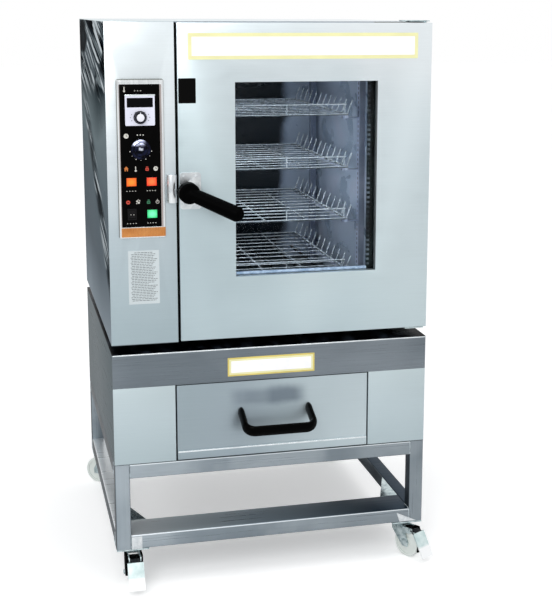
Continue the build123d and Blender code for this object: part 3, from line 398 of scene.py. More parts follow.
def lit_lens(name, colour, core):
    """A lit square lens, brighter in the middle, with a fine ribbed face."""
    low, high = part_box(name)
    material, tree = finish(name + "_lens", colour, 0.0, 0.22, Emission_Strength=0.45)
    glow = shades(halo(tree, (low + high) / 2, (70, 0, 80)), (0.0, colour), (0.75, core))
    ribs = noise(tree, 1.0, (700, 1, 700))
    return look(material, Base_Color=glow, Emission_Color=glow, Normal=dent(ribs, 0.2, 0.3 * MM))


def chamber_sheet():
    """Polished liner: blue grey side walls, a rear wall and floor that mirror the racks, a painted
    reflection on the rear wall, dark at its left and bright at its right, a floor painted dark, and painted
    shade in the corner at the right of the mouth.
    """
    material, tree = finish("chamber_sheet", (150, 162, 176), 0.3, 0.3)
    low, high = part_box("rack_uprights")
    rear_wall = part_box("chamber_liner")[1].y
    side, depth = height(tree, "X"), height(tree, "Y")
    slow = noise(tree, 3.0, (1, 1, 1.8), detail=4.0, distortion=1.4)
    wall = shades(slow, (0.3, (112, 128, 146)), (0.5, (138, 152, 170)), (0.7, (152, 158, 176)))
    # Painted reflection on the rear wall: dark at the left, bright bluish at the right.
    mirror = eased(plus(side, varied(slow, -0.02, 0.02)), across(590), across(625))
    rear_reflection = mixed(mirror, (14, 22, 28), (136, 150, 168))
    backed = mixed(spread(depth, rear_wall - 0.012, rear_wall - 0.008), wall, rear_reflection)
    # The floor is painted dark.
    floor_darkened = mixed(spread(height(tree), low.z + 0.003, low.z + 0.001), backed, (22, 30, 34))
    # Painted shade in the corner at the right of the mouth.
    mouth = times(spread(depth, low.y + 0.018, low.y + 0.014),
                  spread(side, high.x - 0.01, high.x - 0.005))
    return look(material, Base_Color=mixed(mouth, floor_darkened, (22, 27, 33)),
                Roughness=varied(slow, 0.24, 0.36), Normal=dent(slow, 0.12, 3 * MM))


def striped(tree, pitch, share):
    """One where a slot lies and nought between, by height."""
    step = sums("FRACT", sums("DIVIDE", height(tree), pitch), 0.0)
    return spread(step, share, share + 0.12, 1.0, 0.0)


def slotted_steel():
    """Bluish ladder posts with a row of dark slots, darkened towards the back with painted shade."""
    material, tree = finish("slotted_steel", (150, 162, 186), 0.5, 0.3)
    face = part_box("rack_uprights")[0].y
    tone = shades(noise(tree, 12.0, detail=3.0), (0.35, (136, 150, 176)), (0.65, (182, 192, 212)))
    depth = height(tree, "Y")
    slots = times(striped(tree, 0.0125, 0.5), spread(depth, face + 0.027, face + 0.029),
                  spread(depth, face + 0.037, face + 0.035))
    # Painted shade darkens the posts towards the back of the chamber.
    far = mixed(spread(depth, face + 0.3, face + 0.4), mixed(slots, tone, (30, 36, 48)), (96, 106, 124))
    return look(material, Base_Color=far, Normal=dent(slots, 0.6))


def spacer_strip():
    """Dark spacer bar between the panes, whose rows of light dashes are a painted reflection of the slotted
    posts.
    """
    material, tree = finish("spacer_strip", (14, 18, 22), 0.3, 0.4, Specular_IOR_Level=0.2)
    tone = shades(noise(tree, 9.0, detail=4.0), (0.35, (6, 9, 12)), (0.6, (26, 34, 34)))
    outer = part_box("door_glass_panes")[1].x - 10 * MM
    inner = spread(height(tree, "X"), outer - 12 * MM, outer - 13 * MM)
    # Painted reflection of the slotted posts: light dashes.
    dashes = times(striped(tree, 0.0125, 0.4), inner)
    patchy = times(dashes, spread(noise(tree, 16.0), 0.45, 0.6, 0.1, 0.75))
    return look(material, Base_Color=mixed(patchy, tone, (120, 134, 146)), Normal=dent(dashes, 0.4))


def rack_wire(name):
    """Bright chrome wire, with the flat bars under the wires left dull."""
    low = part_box(name)[0]
    material, tree = finish(name + "_wire", (236, 242, 246), 0.55, 0.24)
    clouds = noise(tree, 60.0, detail=4.0)
    bright = shades(clouds, (0.35, (164, 176, 184)), (0.6, (206, 216, 222)))
    under = spread(height(tree), low.z + 3.1 * MM, low.z + 2.8 * MM)
    return look(material, Base_Color=mixed(under, bright, (70, 78, 84)),
                Roughness=varied(clouds, 0.32, 0.2))


def edge_on_zinc():
    """Zinc fork whose outer faces carry a painted reflection of the dark floor under the stand."""
    material, tree = finish("edge_on_zinc", (206, 220, 222), 0.6, 0.3)
    low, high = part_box("caster_fork_front_left")
    clouds = noise(tree, 60.0, detail=4.0, distortion=0.6)
    bright = shades(clouds, (0.35, (158, 174, 178)), (0.6, (206, 220, 222)))
    # Painted reflection of the dark floor on the outer faces of the fork.
    off_middle = apart(height(tree, "X"), (low.x + high.x) / 2)
    sides = times(spread(off_middle, 15.6 * MM, 16.2 * MM), spread(height(tree), 84 * MM, 82 * MM))
    return look(material, Base_Color=mixed(sides, bright, (18, 26, 30)),
                Roughness=varied(clouds, 0.36, 0.26))


def knuckle_zinc():
    """Zinc fork, darkened with painted shade around the pivot of the brake pedal."""
    material, tree = finish("knuckle_zinc", (206, 220, 222), 0.9, 0.26)
    low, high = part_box("brake_pedal_front_right")
    pivot = (low.x + 0.36 * (high.x - low.x), high.y - 12 * MM, high.z - 4 * MM)
    clouds = noise(tree, 60.0, detail=4.0, distortion=0.6)
    bright = shades(clouds, (0.35, (140, 158, 162)), (0.6, (206, 220, 222)))
    # Painted shade around the pivot of the pedal.
    ragged = plus(halo(tree, pivot, (38, 38, 38)), varied(clouds, -0.06, 0.06))
    return look(material, Base_Color=mixed(spread(ragged, 0.2, 0.26), bright, (10, 14, 18)),
                Roughness=varied(clouds, 0.34, 0.22))


def knob_mirror():
    """Dark chrome with painted highlights: a bright crescent at its upper left and a glint in the middle."""
    material, tree = finish("knob_chrome", (20, 22, 40), 0.9, 0.14)
    clouds = noise(tree, 90.0)
    side, level = height(tree, "X"), plus(height(tree), varied(clouds, -2 * MM, 2 * MM))
    base = shades(clouds, (0.35, (6, 8, 16)), (0.65, (34, 38, 62)))
    middle_x, middle_z = across(dial_x), down(timer_level)
    # Painted highlight: a bright crescent at the upper left.
    upper = spread(level, middle_z + 8 * MM, middle_z + 15 * MM)
    leftward = spread(side, middle_x + 14 * MM, middle_x - 4 * MM)
    crescent = mixed(times(upper, leftward), base, (206, 212, 242))
    # Painted highlight: a glint in the middle.
    glint = times(spread(apart(level, middle_z + 2 * MM), 4.4 * MM, 2.4 * MM),
                  spread(apart(side, middle_x - 1 * MM), 6.4 * MM, 3.4 * MM))
    return look(material, Base_Color=mixed(glint, crescent, (226, 232, 248)),
                Roughness=varied(clouds, 0.1, 0.2))


def bezel_metal():
    """Silver frame with a warm inner line down its sides, a copper lower edge, and painted shade along its
    outer left, top and right edges.
    """
    material, tree = finish("bezel_metal", (216, 220, 222), 0.8, 0.28)
    low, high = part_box("control_bezel")
    print_low, print_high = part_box("control_overlay")
    side, level = height(tree, "X"), height(tree)
    fine = noise(tree, 1.0, (240, 12, 9))
    silver = shades(fine, (0.3, (216, 220, 222)), (0.7, (236, 239, 240)))
    copper = shades(noise(tree, 20.0, detail=3.0), (0.3, (188, 118, 62)), (0.7, (210, 146, 88)))
    from_left = spread(apart(side, print_low.x - 0.8 * MM), 1.0 * MM, 1.4 * MM, 0.5, 0.0)
    from_right = spread(apart(side, print_high.x + 2 * MM), 2.2 * MM, 2.8 * MM, 0.6, 0.0)
    beside = times(spread(level, print_low.z - 1 * MM, print_low.z),
                   spread(level, print_high.z, print_high.z - 1 * MM))
    warmed = mixed(times(larger(from_left, from_right), beside), silver, (112, 70, 52))
    # Painted shade along the outer left, top and right edges.
    around = larger(spread(side, low.x + 2.4 * MM, low.x + 1.6 * MM),
                    spread(level, high.z - 3.4 * MM, high.z - 2.4 * MM),
                    spread(side, high.x - 1.2 * MM, high.x - 0.6 * MM))
    edge_shaded = mixed(times(around, 0.9), warmed, (112, 116, 112))
    foot = spread(level, print_low.z - 1 * MM, print_low.z - 2 * MM)
    inside = times(spread(side, low.x + 5 * MM, low.x + 7 * MM),
                   spread(level, low.z + 2 * MM, low.z + 3 * MM))
    return look(material, Base_Color=mixed(times(foot, inside), edge_shaded, copper),
                Roughness=varied(fine, 0.22, 0.34), Normal=dent(fine, 0.03, 0.2 * MM))


def clear_glass():
    """Clear panes with faint smears, and almost no mirroring."""
    material, tree = finish("clear_glass", (251.5, 253.25, 255), 0.0, 0.0, Transmission_Weight=1.0, IOR=1.06)
    smear = noise(tree, 6.0, (1, 1, 0.4), detail=3.0, distortion=0.5)
    return look(material, Roughness=spread(smear, 0.5, 0.9, 0.0, 0.03))


def sign_face():
    """White lacquer with a faint unevenness."""
    material, tree = finish("sign_face", (248, 248, 252), 0.0, 0.3, Coat_Weight=0.4)
    fine = noise(tree, 40.0)
    return look(material, Base_Color=shades(fine, (0.3, (243, 243, 250)), (0.7, (252, 251, 253))),
                Normal=dent(fine, 0.04, 0.5 * MM))


def wool():
    material, tree = finish("mineral_wool", (196, 186, 150), 0.0, 0.95)
    fibres = noise(tree, 90.0, (1, 1, 4), detail=8.0, distortion=2.0)
    return look(material, Base_Color=shades(fibres, (0.3, (150, 138, 100)), (0.7, (210, 200, 165))),
                Normal=dent(fibres, 0.8, 2 * MM))


casing = filmed_casing("casing_film", [(0.0, (170, 186, 192)), (0.29, (185, 201, 206)),
                                       (0.4, (192, 207, 211)), (0.65, (210, 221, 225)),
                                       (0.77, (222, 229, 232)), (1.0, (230, 235, 238))],
                       low=0.38, high=oven_top + 0.34, across_shift=0.16)
column_film = filmed_casing("column_film", [(0.0, (164, 180, 186)), (0.3, (183, 196, 202)),
                                            (0.6, (216, 224, 228)), (0.85, (226, 234, 237)),
                                            (1.0, (228, 236, 240))], low=0.65, high=oven_top)
filler_film = filmed_casing("filler_film", [(0.0, (178, 193, 198)), (0.6, (186, 200, 205)),
                                            (1.0, (190, 204, 208))], low=0.33, high=0.54)
drawer_film = drawer_sheet()
band_steel = brushed("band_steel", (146, 154, 161), (112, 121, 128), 0.3, (6, 6, 420))
frame_steel = tube_steel("frame_steel", (220, 220, 3))
rail_steel = tube_steel("rail_steel", (3, 120, 320))
hood_steel = hood_sheet()
shell_steel = brushed("shell_steel", (96, 103, 108), (78, 85, 90), 0.3, (5, 5, 260))
side_steel = side_film()
chamber_steel = chamber_sheet()
inner_steel = brushed("inner_steel", (150, 158, 164), (128, 136, 142), 0.34, (300, 6, 6))
wire_chrome = plated("wire_chrome", (240, 244, 248), (214, 222, 228), 0.22, 0.5)
zinc = plated("zinc", (206, 220, 222), (158, 174, 178), 0.24)
keeper_metal = plated("keeper_metal", (226, 230, 232), (204, 210, 214), 0.26)
weld_metal = plated("weld_metal", (214, 224, 228), (150, 162, 168), 0.3)
black_plastic = plastic("black_plastic", (3, 3, 5), 0.5, 0.12, gloss=0.02)
black_gloss = plastic("black_gloss", (2, 2, 3), 0.12, 0.02, gloss=0.03)
overlay_black = plastic("overlay_black", (5, 4, 4), 0.35, 0.03, gloss=0.04)
rubber = plastic("rubber", (4, 5, 7), 0.7, 0.2, gloss=0.05)
silicone = plastic("silicone", (40, 42, 46), 0.6, 0.15, gloss=0.2)
wheel_white = plastic("wheel_white", (226, 232, 228), 0.38, 0.05, mottle=0.08)
controller_white = plastic("controller_white", (220, 221, 236), 0.36, 0.04, mottle=0.05)
cap_white = plastic("cap_white", (228, 228, 236), 0.3, mottle=0.04)
dial_blue = plastic("dial_blue", (14, 16, 30), 0.26, 0.03, gloss=0.3)
scale_black = plastic("scale_black", (5, 7, 12), 0.2, 0.02, gloss=0.08)
knob_chrome = knob_mirror()
print_white = plastic("print_white", (200, 198, 190), 0.5)
print_orange = plastic("print_orange", (196, 112, 48), 0.5)
print_red = plastic("print_red", (190, 62, 44), 0.5)
print_green = plastic("print_green", (38, 104, 72), 0.5)
print_grey = plastic("print_grey", (104, 110, 112), 0.5)
card_clear = plastic("card_clear", (198, 207, 210), 0.3, 0.04, mottle=0.06, gloss=0.3)
sign_white = sign_face()
sign_yellow = plastic("sign_yellow", (236, 232, 178), 0.4, mottle=0.1)
sign_gold = plastic("sign_gold", (226, 206, 112), 0.4, mottle=0.2)
sign_pale = plastic("sign_pale", (238, 236, 176), 0.4, mottle=0.1)
tag_black = plastic("tag_black", (8, 8, 7), 0.35, 0.03, gloss=0.06)
element_oxide = plated("element_oxide", (96, 88, 84), (48, 44, 44), 0.5)
glass = clear_glass()
mineral_wool = wool()
bezel = bezel_metal()
# Pale blue plating for the window's sill: a painted reflection.
sill_reflection = plated("sill_reflection", (196, 218, 242), (150, 178, 210), 0.3, 0.3)
switch_black = plastic("switch_black", (14, 13, 15), 0.4, gloss=0.15)
pedal_zinc = pedal_metal()
fork_finish = {"front_left": edge_on_zinc(), "front_right": knuckle_zinc()}
# Bright plating, for the painted highlights along the drawer's lip and the top of the band, and for the
# controller's rim.
silver_edge = plated("silver_edge", (236, 242, 244), (214, 222, 226), 0.2, 0.8)
orange_lens = lit_lens("lamp_orange", (206, 78, 16), (236, 122, 36))
red_lens = lit_lens("lamp_red", (214, 48, 22), (244, 104, 52))
green_lens = lit_lens("lamp_green", (34, 176, 104), (104, 228, 164))


# Making pieces
def placed(name, data):
    thing = bpy.data.objects.new(name, data)
    bpy.context.scene.collection.objects.link(thing)
    return thing


def mesh_of(name, bm, material):
    mesh = bpy.data.meshes.new(name)
    bm.to_mesh(mesh)
    bm.free()
    mesh.materials.append(material)
    return mesh


def show(name, bm, body, slot, material, *replaced):
    """Makes an object of a bmesh, says what it rides on, and hides the CAD pieces it stands in for."""
    bmesh.ops.remove_doubles(bm, verts=bm.verts, dist=1e-6)
    mesh = mesh_of(name, bm, material)
    mesh.polygons.foreach_set("use_smooth", [True] * len(mesh.polygons))
    mesh.set_sharp_from_angle(angle=radians(28))
    piece = placed(name, mesh)
    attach(piece, body)
    if replaced:
        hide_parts(*replaced)


def sharp_edges(bm, angle):
    return [e for e in bm.edges if len(e.link_faces) == 2 and e.calc_face_angle() > radians(angle)]


def turned_edges(bm, edges, width, segments=2):
    bmesh.ops.bevel(bm, geom=edges, offset=width, offset_type="OFFSET", segments=segments, profile=0.5,
                    affect="EDGES", clamp_overlap=True, material=-1)


def slab(bm, low, high, edge=0.0, segments=2, along=None):
    """Adds a box with rounded edges. With along, only the edges in that direction are rounded."""
    low, high = Vector(low), Vector(high)
    made = bmesh.ops.create_cube(bm, size=1.0)["verts"]
    bmesh.ops.scale(bm, vec=high - low, verts=made)
    bmesh.ops.translate(bm, vec=(low + high) / 2, verts=made)
    if edge:
        edges = {e for v in made for e in v.link_edges}
        if along is not None:
            edges = {e for e in edges
                     if abs((e.verts[0].co - e.verts[1].co).normalized()[along]) > 0.9}
        turned_edges(bm, list(edges), edge, segments)


def bar(name, body, slot, material, low, high, edge, segments=2, along=None):
    """A piece that is a single box with rounded edges."""
    bm = bmesh.new()
    slab(bm, low, high, edge * MM, segments, along)
    show(name, bm, body, slot, material)


def plate(name, body, slot, material, x0, x1, z0, z1, y_back, thickness, corner):
    """A thin upright sheet on a front face, with rounded corners."""
    bar(name, body, slot, material, (across(x0), y_back - thickness * MM, z0), (across(x1), y_back, z1),
        corner, 4, along=1)


def prism(bm, points, push):
    """Adds a flat outline that is pushed into a solid."""
    face = bm.faces.new([bm.verts.new(point) for point in points])
    pushed = bmesh.ops.extrude_face_region(bm, geom=[face])["geom"]
    bmesh.ops.translate(bm, verts=[e for e in pushed if isinstance(e, bmesh.types.BMVert)], vec=push)


def lathe(bm, profile, centre, axis, steps):
    """Spins a profile, millimetres along the axis and of radius, into a closed round part."""
    axis = Vector(axis).normalized()
    across_axis = axis.orthogonal().normalized()
    verts = [bm.verts.new(Vector(centre) + axis * run * MM + across_axis * max(radius * MM, 1e-7))
             for run, radius in profile]
    edges = [bm.edges.new(pair) for pair in zip(verts, verts[1:])]
    bmesh.ops.spin(bm, geom=verts + edges, cent=centre, axis=axis, angle=2 * pi, steps=steps,
                   use_merge=True)
    bmesh.ops.remove_doubles(bm, verts=bm.verts, dist=2e-6)
    bmesh.ops.recalc_face_normals(bm, faces=bm.faces)


def rounded(node, edge, material, slot, sharp=35):
    """A copy of a CAD piece with its sharp edges turned, in place of that piece."""
    bm = bmesh.new()
    bm.from_mesh(nodes[node].data)
    bmesh.ops.remove_doubles(bm, verts=bm.verts, dist=2e-6)
    bmesh.ops.dissolve_limit(bm, angle_limit=radians(0.5), verts=bm.verts, edges=bm.edges)
    turned_edges(bm, sharp_edges(bm, sharp), edge * MM)
    show(node + "_made", bm, nodes[node]["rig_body"], slot, material, node)


def dressed(node, material):
    """A CAD piece that keeps its shape and gets its finish."""
    nodes[node].data.materials.clear()
    nodes[node].data.materials.append(material)


# Camera, as the photograph was taken
photo_height, focal_length, sensor = 599, 1236, 36
camera_across, camera_ahead, camera_height = -267.5, 3013.6 * MM, 1374 * MM
camera_tilt, camera_roll, camera_turn = radians(79.47), radians(-0.197), radians(-14.143)
camera_data = bpy.data.cameras.new("camera")
camera = placed("camera", camera_data)
bpy.context.scene.camera = camera
camera.location = (across(camera_across), front - camera_ahead, stand_low.z + camera_height)
camera.rotation_mode = "XYZ"
camera.rotation_euler = (camera_tilt, camera_roll, camera_turn)
camera_data.sensor_width = sensor
camera_data.lens = focal_length / photo_height * sensor
camera_data.shift_x = -0.0462
camera_data.shift_y = -0.1
camera_data.clip_end = 100

# Floor, light and background
stage_material, tree = finish("stage_floor", (243.08,) * 3, 0.0, 0.8, Emission_Color=(255, 255, 255))
cloud = shades(noise(tree, 1.5), (0.3, (243.08,) * 3), (0.7, (246.73,) * 3))
look(stage_material, Base_Color=cloud,
     Emission_Strength=times(added(tree, "LightPath").outputs["Is Camera Ray"], 0.34))
bm = bmesh.new()
bmesh.ops.create_grid(bm, x_segments=4, y_segments=4, size=30)
placed("floor", mesh_of("floor", bm, stage_material))

world = bpy.data.worlds.new("studio")
bpy.context.scene.world = world
world.use_nodes = True
tree = world.node_tree
soft = set_inputs(tree.nodes["Background"], Color=(252.67, 253.84, 255), Strength=0.72)
seen = added(tree, "Background", Color=(255, 255, 255), Strength=1.0)
path = added(tree, "LightPath").outputs
direct = larger(path["Is Camera Ray"], path["Is Glossy Ray"], path["Is Transmission Ray"])
blend = tree.nodes.new("ShaderNodeMixShader")
for socket, value in zip(blend.inputs, (direct, soft.outputs[0], seen.outputs[0])):
    put(socket, value)
put(tree.nodes["World Output"].inputs["Surface"], blend.outputs[0])


def lamp(name, location, target, size, power):
    data = bpy.data.lights.new(name, "AREA")
    data.shape = "DISK"
    data.size = size
    data.energy = power
    light = placed(name, data)
    light.location = location
    light.rotation_euler = (Vector(target) - Vector(location)).to_track_quat("-Z", "Y").to_euler()
    return light


lamp("key", (-2.2, -4.2, 3.6), (0, 0, 0.9), size=2.6, power=95)
lamp("overhead", (0.6, -1.4, 4.6), (0.2, -0.2, 0.6), size=3.0, power=45)

# Light in the roasting chamber, beside the window
chamber_low, chamber_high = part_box("chamber_liner")
inside_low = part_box("rack_uprights")[0]
chamber_centre = (chamber_low + chamber_high) / 2
chamber_light = lamp("chamber_light", (inside_low.x + 0.01, inside_low.y + 0.16, chamber_centre.z),
                     (chamber_high.x, chamber_centre.y, chamber_centre.z), size=0.3, power=4.5)
chamber_light.visible_camera = False
chamber_light.visible_glossy = False
chamber_light.visible_transmission = False

# Stand: square tubes with rounded corners, welded at the joints
tube, tube_corner, front_rail_depth = 38 * MM, 3.5 * MM, 100 * MM
bm = bmesh.new()
for x in (left, right - tube):
    for y in (front, back - tube):
        slab(bm, (x, y, stand_low.z), (x + tube, y + tube, stand_high.z), tube_corner, 4, along=2)
show("stand_legs_made", bm, "cabinet", "frame_steel", frame_steel, "stand_legs")
bm = bmesh.new()
rail_levels = (stand_low.z, stand_high.z - tube)
for z, front_depth in zip(rail_levels, (front_rail_depth, tube)):
    for y0, y1 in ((front, front + front_depth), (back - tube, back)):
        slab(bm, (left + tube, y0, z), (right - tube, y1, z + tube), tube_corner, 4, along=0)
    for x in (left, right - tube):
        slab(bm, (x, front + tube, z), (x + tube, back - tube, z + tube), tube_corner, 4, along=1)
show("stand_rails_made", bm, "cabinet", "frame_steel", rail_steel, "stand_rails")


def weld(bm, start, end):
    """A rippled weld bead: overlapping flattened drops along a joint."""
    radius, pitch = 1.5 * MM, 2.6 * MM
    start, end = Vector(start), Vector(end)
    count = int((end - start).length / pitch)
    for i in range(count + 1):
        size = radius * (0.85 + 0.3 * ((i * 7) % 5) / 5)
        bmesh.ops.create_icosphere(bm, subdivisions=1, radius=size,
                                   matrix=Matrix.Translation(start.lerp(end, i / count)))


upright_inset, level_inset = 3 * MM, 4 * MM
bm = bmesh.new()
for z in rail_levels:
    z_top = z + tube
    for y_outer, y_inner in ((front, front + tube), (back, back - tube)):
        y0, y1 = sorted((y_outer, y_inner))
        for x in (left + tube, right - tube):
            weld(bm, (x, y_outer, z + upright_inset), (x, y_outer, z_top - upright_inset))
            weld(bm, (x, y0 + level_inset, z_top), (x, y1 - level_inset, z_top))
    for x in (left, right):
        for y in (front + tube, back - tube):
            weld(bm, (x, y, z + upright_inset), (x, y, z_top - upright_inset))
show("stand_welds", bm, "cabinet", "frame_steel", weld_metal)
rounded("caster_plates", 0.8, zinc, "frame_steel")

# Warming cabinet
rounded("warmer_front_band", 1.2, band_steel, "brushed_steel")
rounded("warmer_front_fillers", 1.0, filler_film, "casing_steel")
rounded("warmer_hood", 0.7, hood_steel, "side_steel")
rounded("warmer_floor_and_back", 0.7, shell_steel, "side_steel")
rounded("drawer_front", 1.0, drawer_film, "casing_steel")
rounded("drawer_runners", 0.5, zinc, "zinc")
dressed("drawer_tub", inner_steel)
dressed("warmer_heater", element_oxide)
rounded("drawer_handle", 0.8, black_gloss, "black_plastic", sharp=60)

# Oven casing
rounded("oven_base_pan", 0.6, shell_steel, "side_steel")
rounded("oven_left_panel", 0.6, side_steel, "side_steel")
rounded("oven_right_panel", 0.6, side_steel, "side_steel")
rounded("oven_top_panel", 0.6, casing, "side_steel")
rounded("oven_back_panel", 0.6, shell_steel, "side_steel")
rounded("control_column", 1.0, column_film, "casing_steel")
dressed("chamber_liner", chamber_steel)
dressed("chamber_insulation", mineral_wool)
dressed("door_insulation", mineral_wool)
dressed("chamber_heaters", element_oxide)
dressed("temperature_probe", wire_chrome)
dressed("control_electrics", black_plastic)
rounded("cable_gland", 0.5, black_plastic, "black_plastic", sharp=50)
for i in range(1, 5):
    dressed(f"rack_{i}", rack_wire(f"rack_{i}"))
dressed("rack_uprights", slotted_steel())

# Door
rounded("door_outer_skin", 1.3, casing, "casing_steel")
rounded("door_inner_skin", 0.6, inner_steel, "chamber_steel")
rounded("door_gasket", 2.0, silicone, "gasket_silicone")
rounded("door_hinge_brackets", 0.7, zinc, "zinc")
dressed("door_glass_panes", glass)

# Latch
rounded("latch_base", 0.9, keeper_metal, "zinc")
rounded("latch_lever", 0.9, keeper_metal, "zinc")
rounded("latch_grip", 0.8, black_plastic, "black_plastic", sharp=60)
rounded("latch_keeper", 1.0, keeper_metal, "zinc")

# Control panel
rounded("control_bezel", 1.4, bezel, "bezel_champagne")
rounded("control_overlay", 0.3, overlay_black, "black_plastic")
rounded("controller_case", 0.7, controller_white, "controller_white")
rounded("rocker_housing", 0.4, switch_black, "black_plastic")
rounded("rocker_paddle", 0.4, switch_black, "black_plastic")
dressed("lamp_orange", orange_lens)
dressed("lamp_red", red_lens)
dressed("lamp_green", green_lens)
dressed("timer_body", overlay_black)

# Casters
for corner in ("front_left", "front_right", "rear_left", "rear_right"):
    rounded(f"caster_fork_{corner}", 0.7, fork_finish.get(corner, zinc), "zinc")
    dressed(f"caster_wheel_{corner}", wheel_white)
for corner in ("front_left", "front_right"):
    rounded(f"brake_pedal_{corner}", 0.9, pedal_zinc, "zinc")

# Painted shadow: black shoes in front of the wheels, and a thin one above that darkens the wheel, stand in
# for the shade there
kingpin_inset, wheel_trail, wheel_radius = 45 * MM, 30 * MM, 40 * MM
shoe_half_width = 13.3 * MM
shoe_arcs = ((43 * MM, 48 * MM, -20, 42), (40.8 * MM, 42.2 * MM, 36, 150))
for corner, kingpin_x, swivel in (("front_left", left + kingpin_inset, 0),
                                  ("front_right", right - kingpin_inset, 30)):
    bm = bmesh.new()
    axle = (0, -wheel_trail, wheel_radius)
    for near, far, first, last in shoe_arcs:
        section = [bm.verts.new((x, -wheel_trail - radius, wheel_radius))
                   for x, radius in ((-shoe_half_width, near), (shoe_half_width, near),
                                     (shoe_half_width, far), (-shoe_half_width, far))]
        face = bm.faces.new(section)
        bmesh.ops.rotate(bm, verts=section, cent=axle, matrix=Matrix.Rotation(radians(-first), 3, "X"))
        bmesh.ops.spin(bm, geom=[face, *face.edges, *section], cent=axle, axis=(-1, 0, 0),
                       angle=radians(last - first), steps=10)
    bmesh.ops.recalc_face_normals(bm, faces=bm.faces)
    turned_edges(bm, sharp_edges(bm, 50), 0.6 * MM)
    stands = Matrix.Translation((kingpin_x, front + kingpin_inset, 0))
    turn = stands @ Matrix.Rotation(radians(swivel), 4, "Z")
    bmesh.ops.transform(bm, matrix=turn, verts=bm.verts)
    show(f"shadow_shoe_{corner}", bm, f"swivel_{corner}", "black_plastic", rubber)

# Black plates beside the fork of the left caster, standing in for its dark sides as a painted reflection of
# the dark floor, with axle nuts
axle_x, axle_y = left + kingpin_inset, front + kingpin_inset - wheel_trail
dark_side_outline = ((20, 88), (-16, 88), (-18, 62), (-9, 31), (9, 31), (16, 62))
nut_profile = [(0, 0), (0, 6.5), (3.4, 6.5), (4, 5.6), (4, 2.6), (2.4, 2.2), (2.4, 0)]
dark_side_inner, dark_side_pairs = 17, ((-1, 24), (1, 22))
bm = bmesh.new()
for side, dark_side_outer in dark_side_pairs:
    prism(bm, [(axle_x + side * dark_side_inner * MM, axle_y + y * MM, z * MM) for y, z in dark_side_outline],
          (side * (dark_side_outer - dark_side_inner) * MM, 0, 0))
bmesh.ops.recalc_face_normals(bm, faces=bm.faces)
turned_edges(bm, list(bm.edges), 1.6 * MM, 3)
show("caster_dark_sides", bm, "swivel_front_left", "black_plastic", rubber)
bm = bmesh.new()
for side, dark_side_outer in dark_side_pairs:
    lathe(bm, nut_profile, (axle_x + side * dark_side_outer * MM, axle_y, wheel_radius), (side, 0, 0), 6)
show("caster_nuts", bm, "swivel_front_left", "zinc", zinc)

# Black strip in the gap beside the door, standing in for the shadow in that gap: painted shadow
door_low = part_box("door_outer_skin")[0]
bar("gap_shadow_strip", "cabinet", "gasket_silicone", rubber,
    (column_high.x + 0.1 * MM, front + 8 * MM, door_low.z),
    (door_low.x - 0.6 * MM, front + 40 * MM, oven_top - 3 * MM), 0.4)

# Spacer bars between the panes: at the right a dark bar with a painted reflection of the slotted posts, and
# along the bottom a sill whose brightness is a painted reflection
pane_low, pane_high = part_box("door_glass_panes")
covered = Vector((10, 0, 10)) * MM
window_low, window_high = pane_low + covered, pane_high - covered
spacer_front, spacer_back = pane_low.y + 5.4 * MM, pane_high.y - 5.4 * MM
spacer_left = window_high.x - 19 * MM
bar("window_spacer", "door", "black_plastic", spacer_strip(), (spacer_left, spacer_front, window_low.z),
    (window_high.x, spacer_back, window_high.z), 1.5)
# The sill's brightness is a painted reflection.
bar("window_sill", "door", "chamber_steel", sill_reflection, (window_low.x, spacer_front, window_low.z),
    (spacer_left, spacer_back, window_low.z + 8 * MM), 1.5)


# Signs with a pale yellow border
def sign(name, body, border, x0, x1, z0, z1):
    for part, material, inset, base, thickness, corner in (("_border", border, 0, 0, 0.6, 1.2),
                                                           ("_rim", sign_yellow, 4, 0.6, 0.3, 1.0),
                                                           ("_face", sign_white, 9, 0.9, 0.3, 1.0)):
        plate(name + part, body, "casing_steel", material, x0 + inset, x1 - inset, z0 + inset * MM,
              z1 - inset * MM, front - base * MM, thickness, corner)


sign("door_sign", "door", sign_pale, 202, 792, down(92), down(28))
sign("band_sign", "cabinet", sign_gold, 294, 524, band_high.z - 74 * MM, band_high.z - 25 * MM)
plate("door_tag", "door", "black_plastic", tag_black, 177, 220, down(198), down(137), front, 0.5, 1.0)

# Information card with rows of dashes
plate("info_card", "cabinet", "casing_steel", card_clear, 46, 123, down(696), down(560), front, 0.4, 1.0)
row_count, first_row, row_pitch = 30, 566, 4.2
bm = bmesh.new()
for i in range(row_count):
    z = down(first_row + i * row_pitch)
    run = 52 + (i * 7 % 3) * 1.5 + (9 if i == 0 else 0)
    ends = 118 - (i * 5 % 4) * 3.5 - (12 if i in (0, 8, 19) else 0)
    while run < ends:
        length = 4.0 + (i * 3 + run * 7) % 5
        slab(bm, (across(run), front - 0.55 * MM, z),
             (across(min(run + length, ends)), front - 0.4 * MM, z + 1.5 * MM))
        run += length + 1.4
show("info_card_lines", bm, "cabinet", "casing_steel", print_grey)

# Printed icons on the control overlay, and marks on top of the print
print_height, mark_height = 0.25, 0.1
white, orange, red, green, dark = (bmesh.new() for i in range(5))


def dot(bm, x, z, radius, base=0.0, inner=0.0):
    """A printed disc or ring."""
    top = base + print_height
    outline = [(base, inner), (base, radius), (top, radius), (top, inner)]
    if inner:
        outline.append(outline[0])
    lathe(bm, outline, (across(x), overlay_face, down(z)), forward, 24)


def dash(bm, x0, x1, z0, z1, base=0.0, thickness=print_height, corner=0.3):
    """A printed bar, rounded at its corners. Levels are below the oven's top."""
    slab(bm, (across(x0), overlay_face - (base + thickness) * MM, down(z1)),
         (across(x1), overlay_face - base * MM, down(z0)), corner * MM, 2, along=1)


def mark(x0, x1, z0, z1):
    """A dark bar on top of the print."""
    dash(dark, x0, x1, z0, z1, print_height, mark_height)


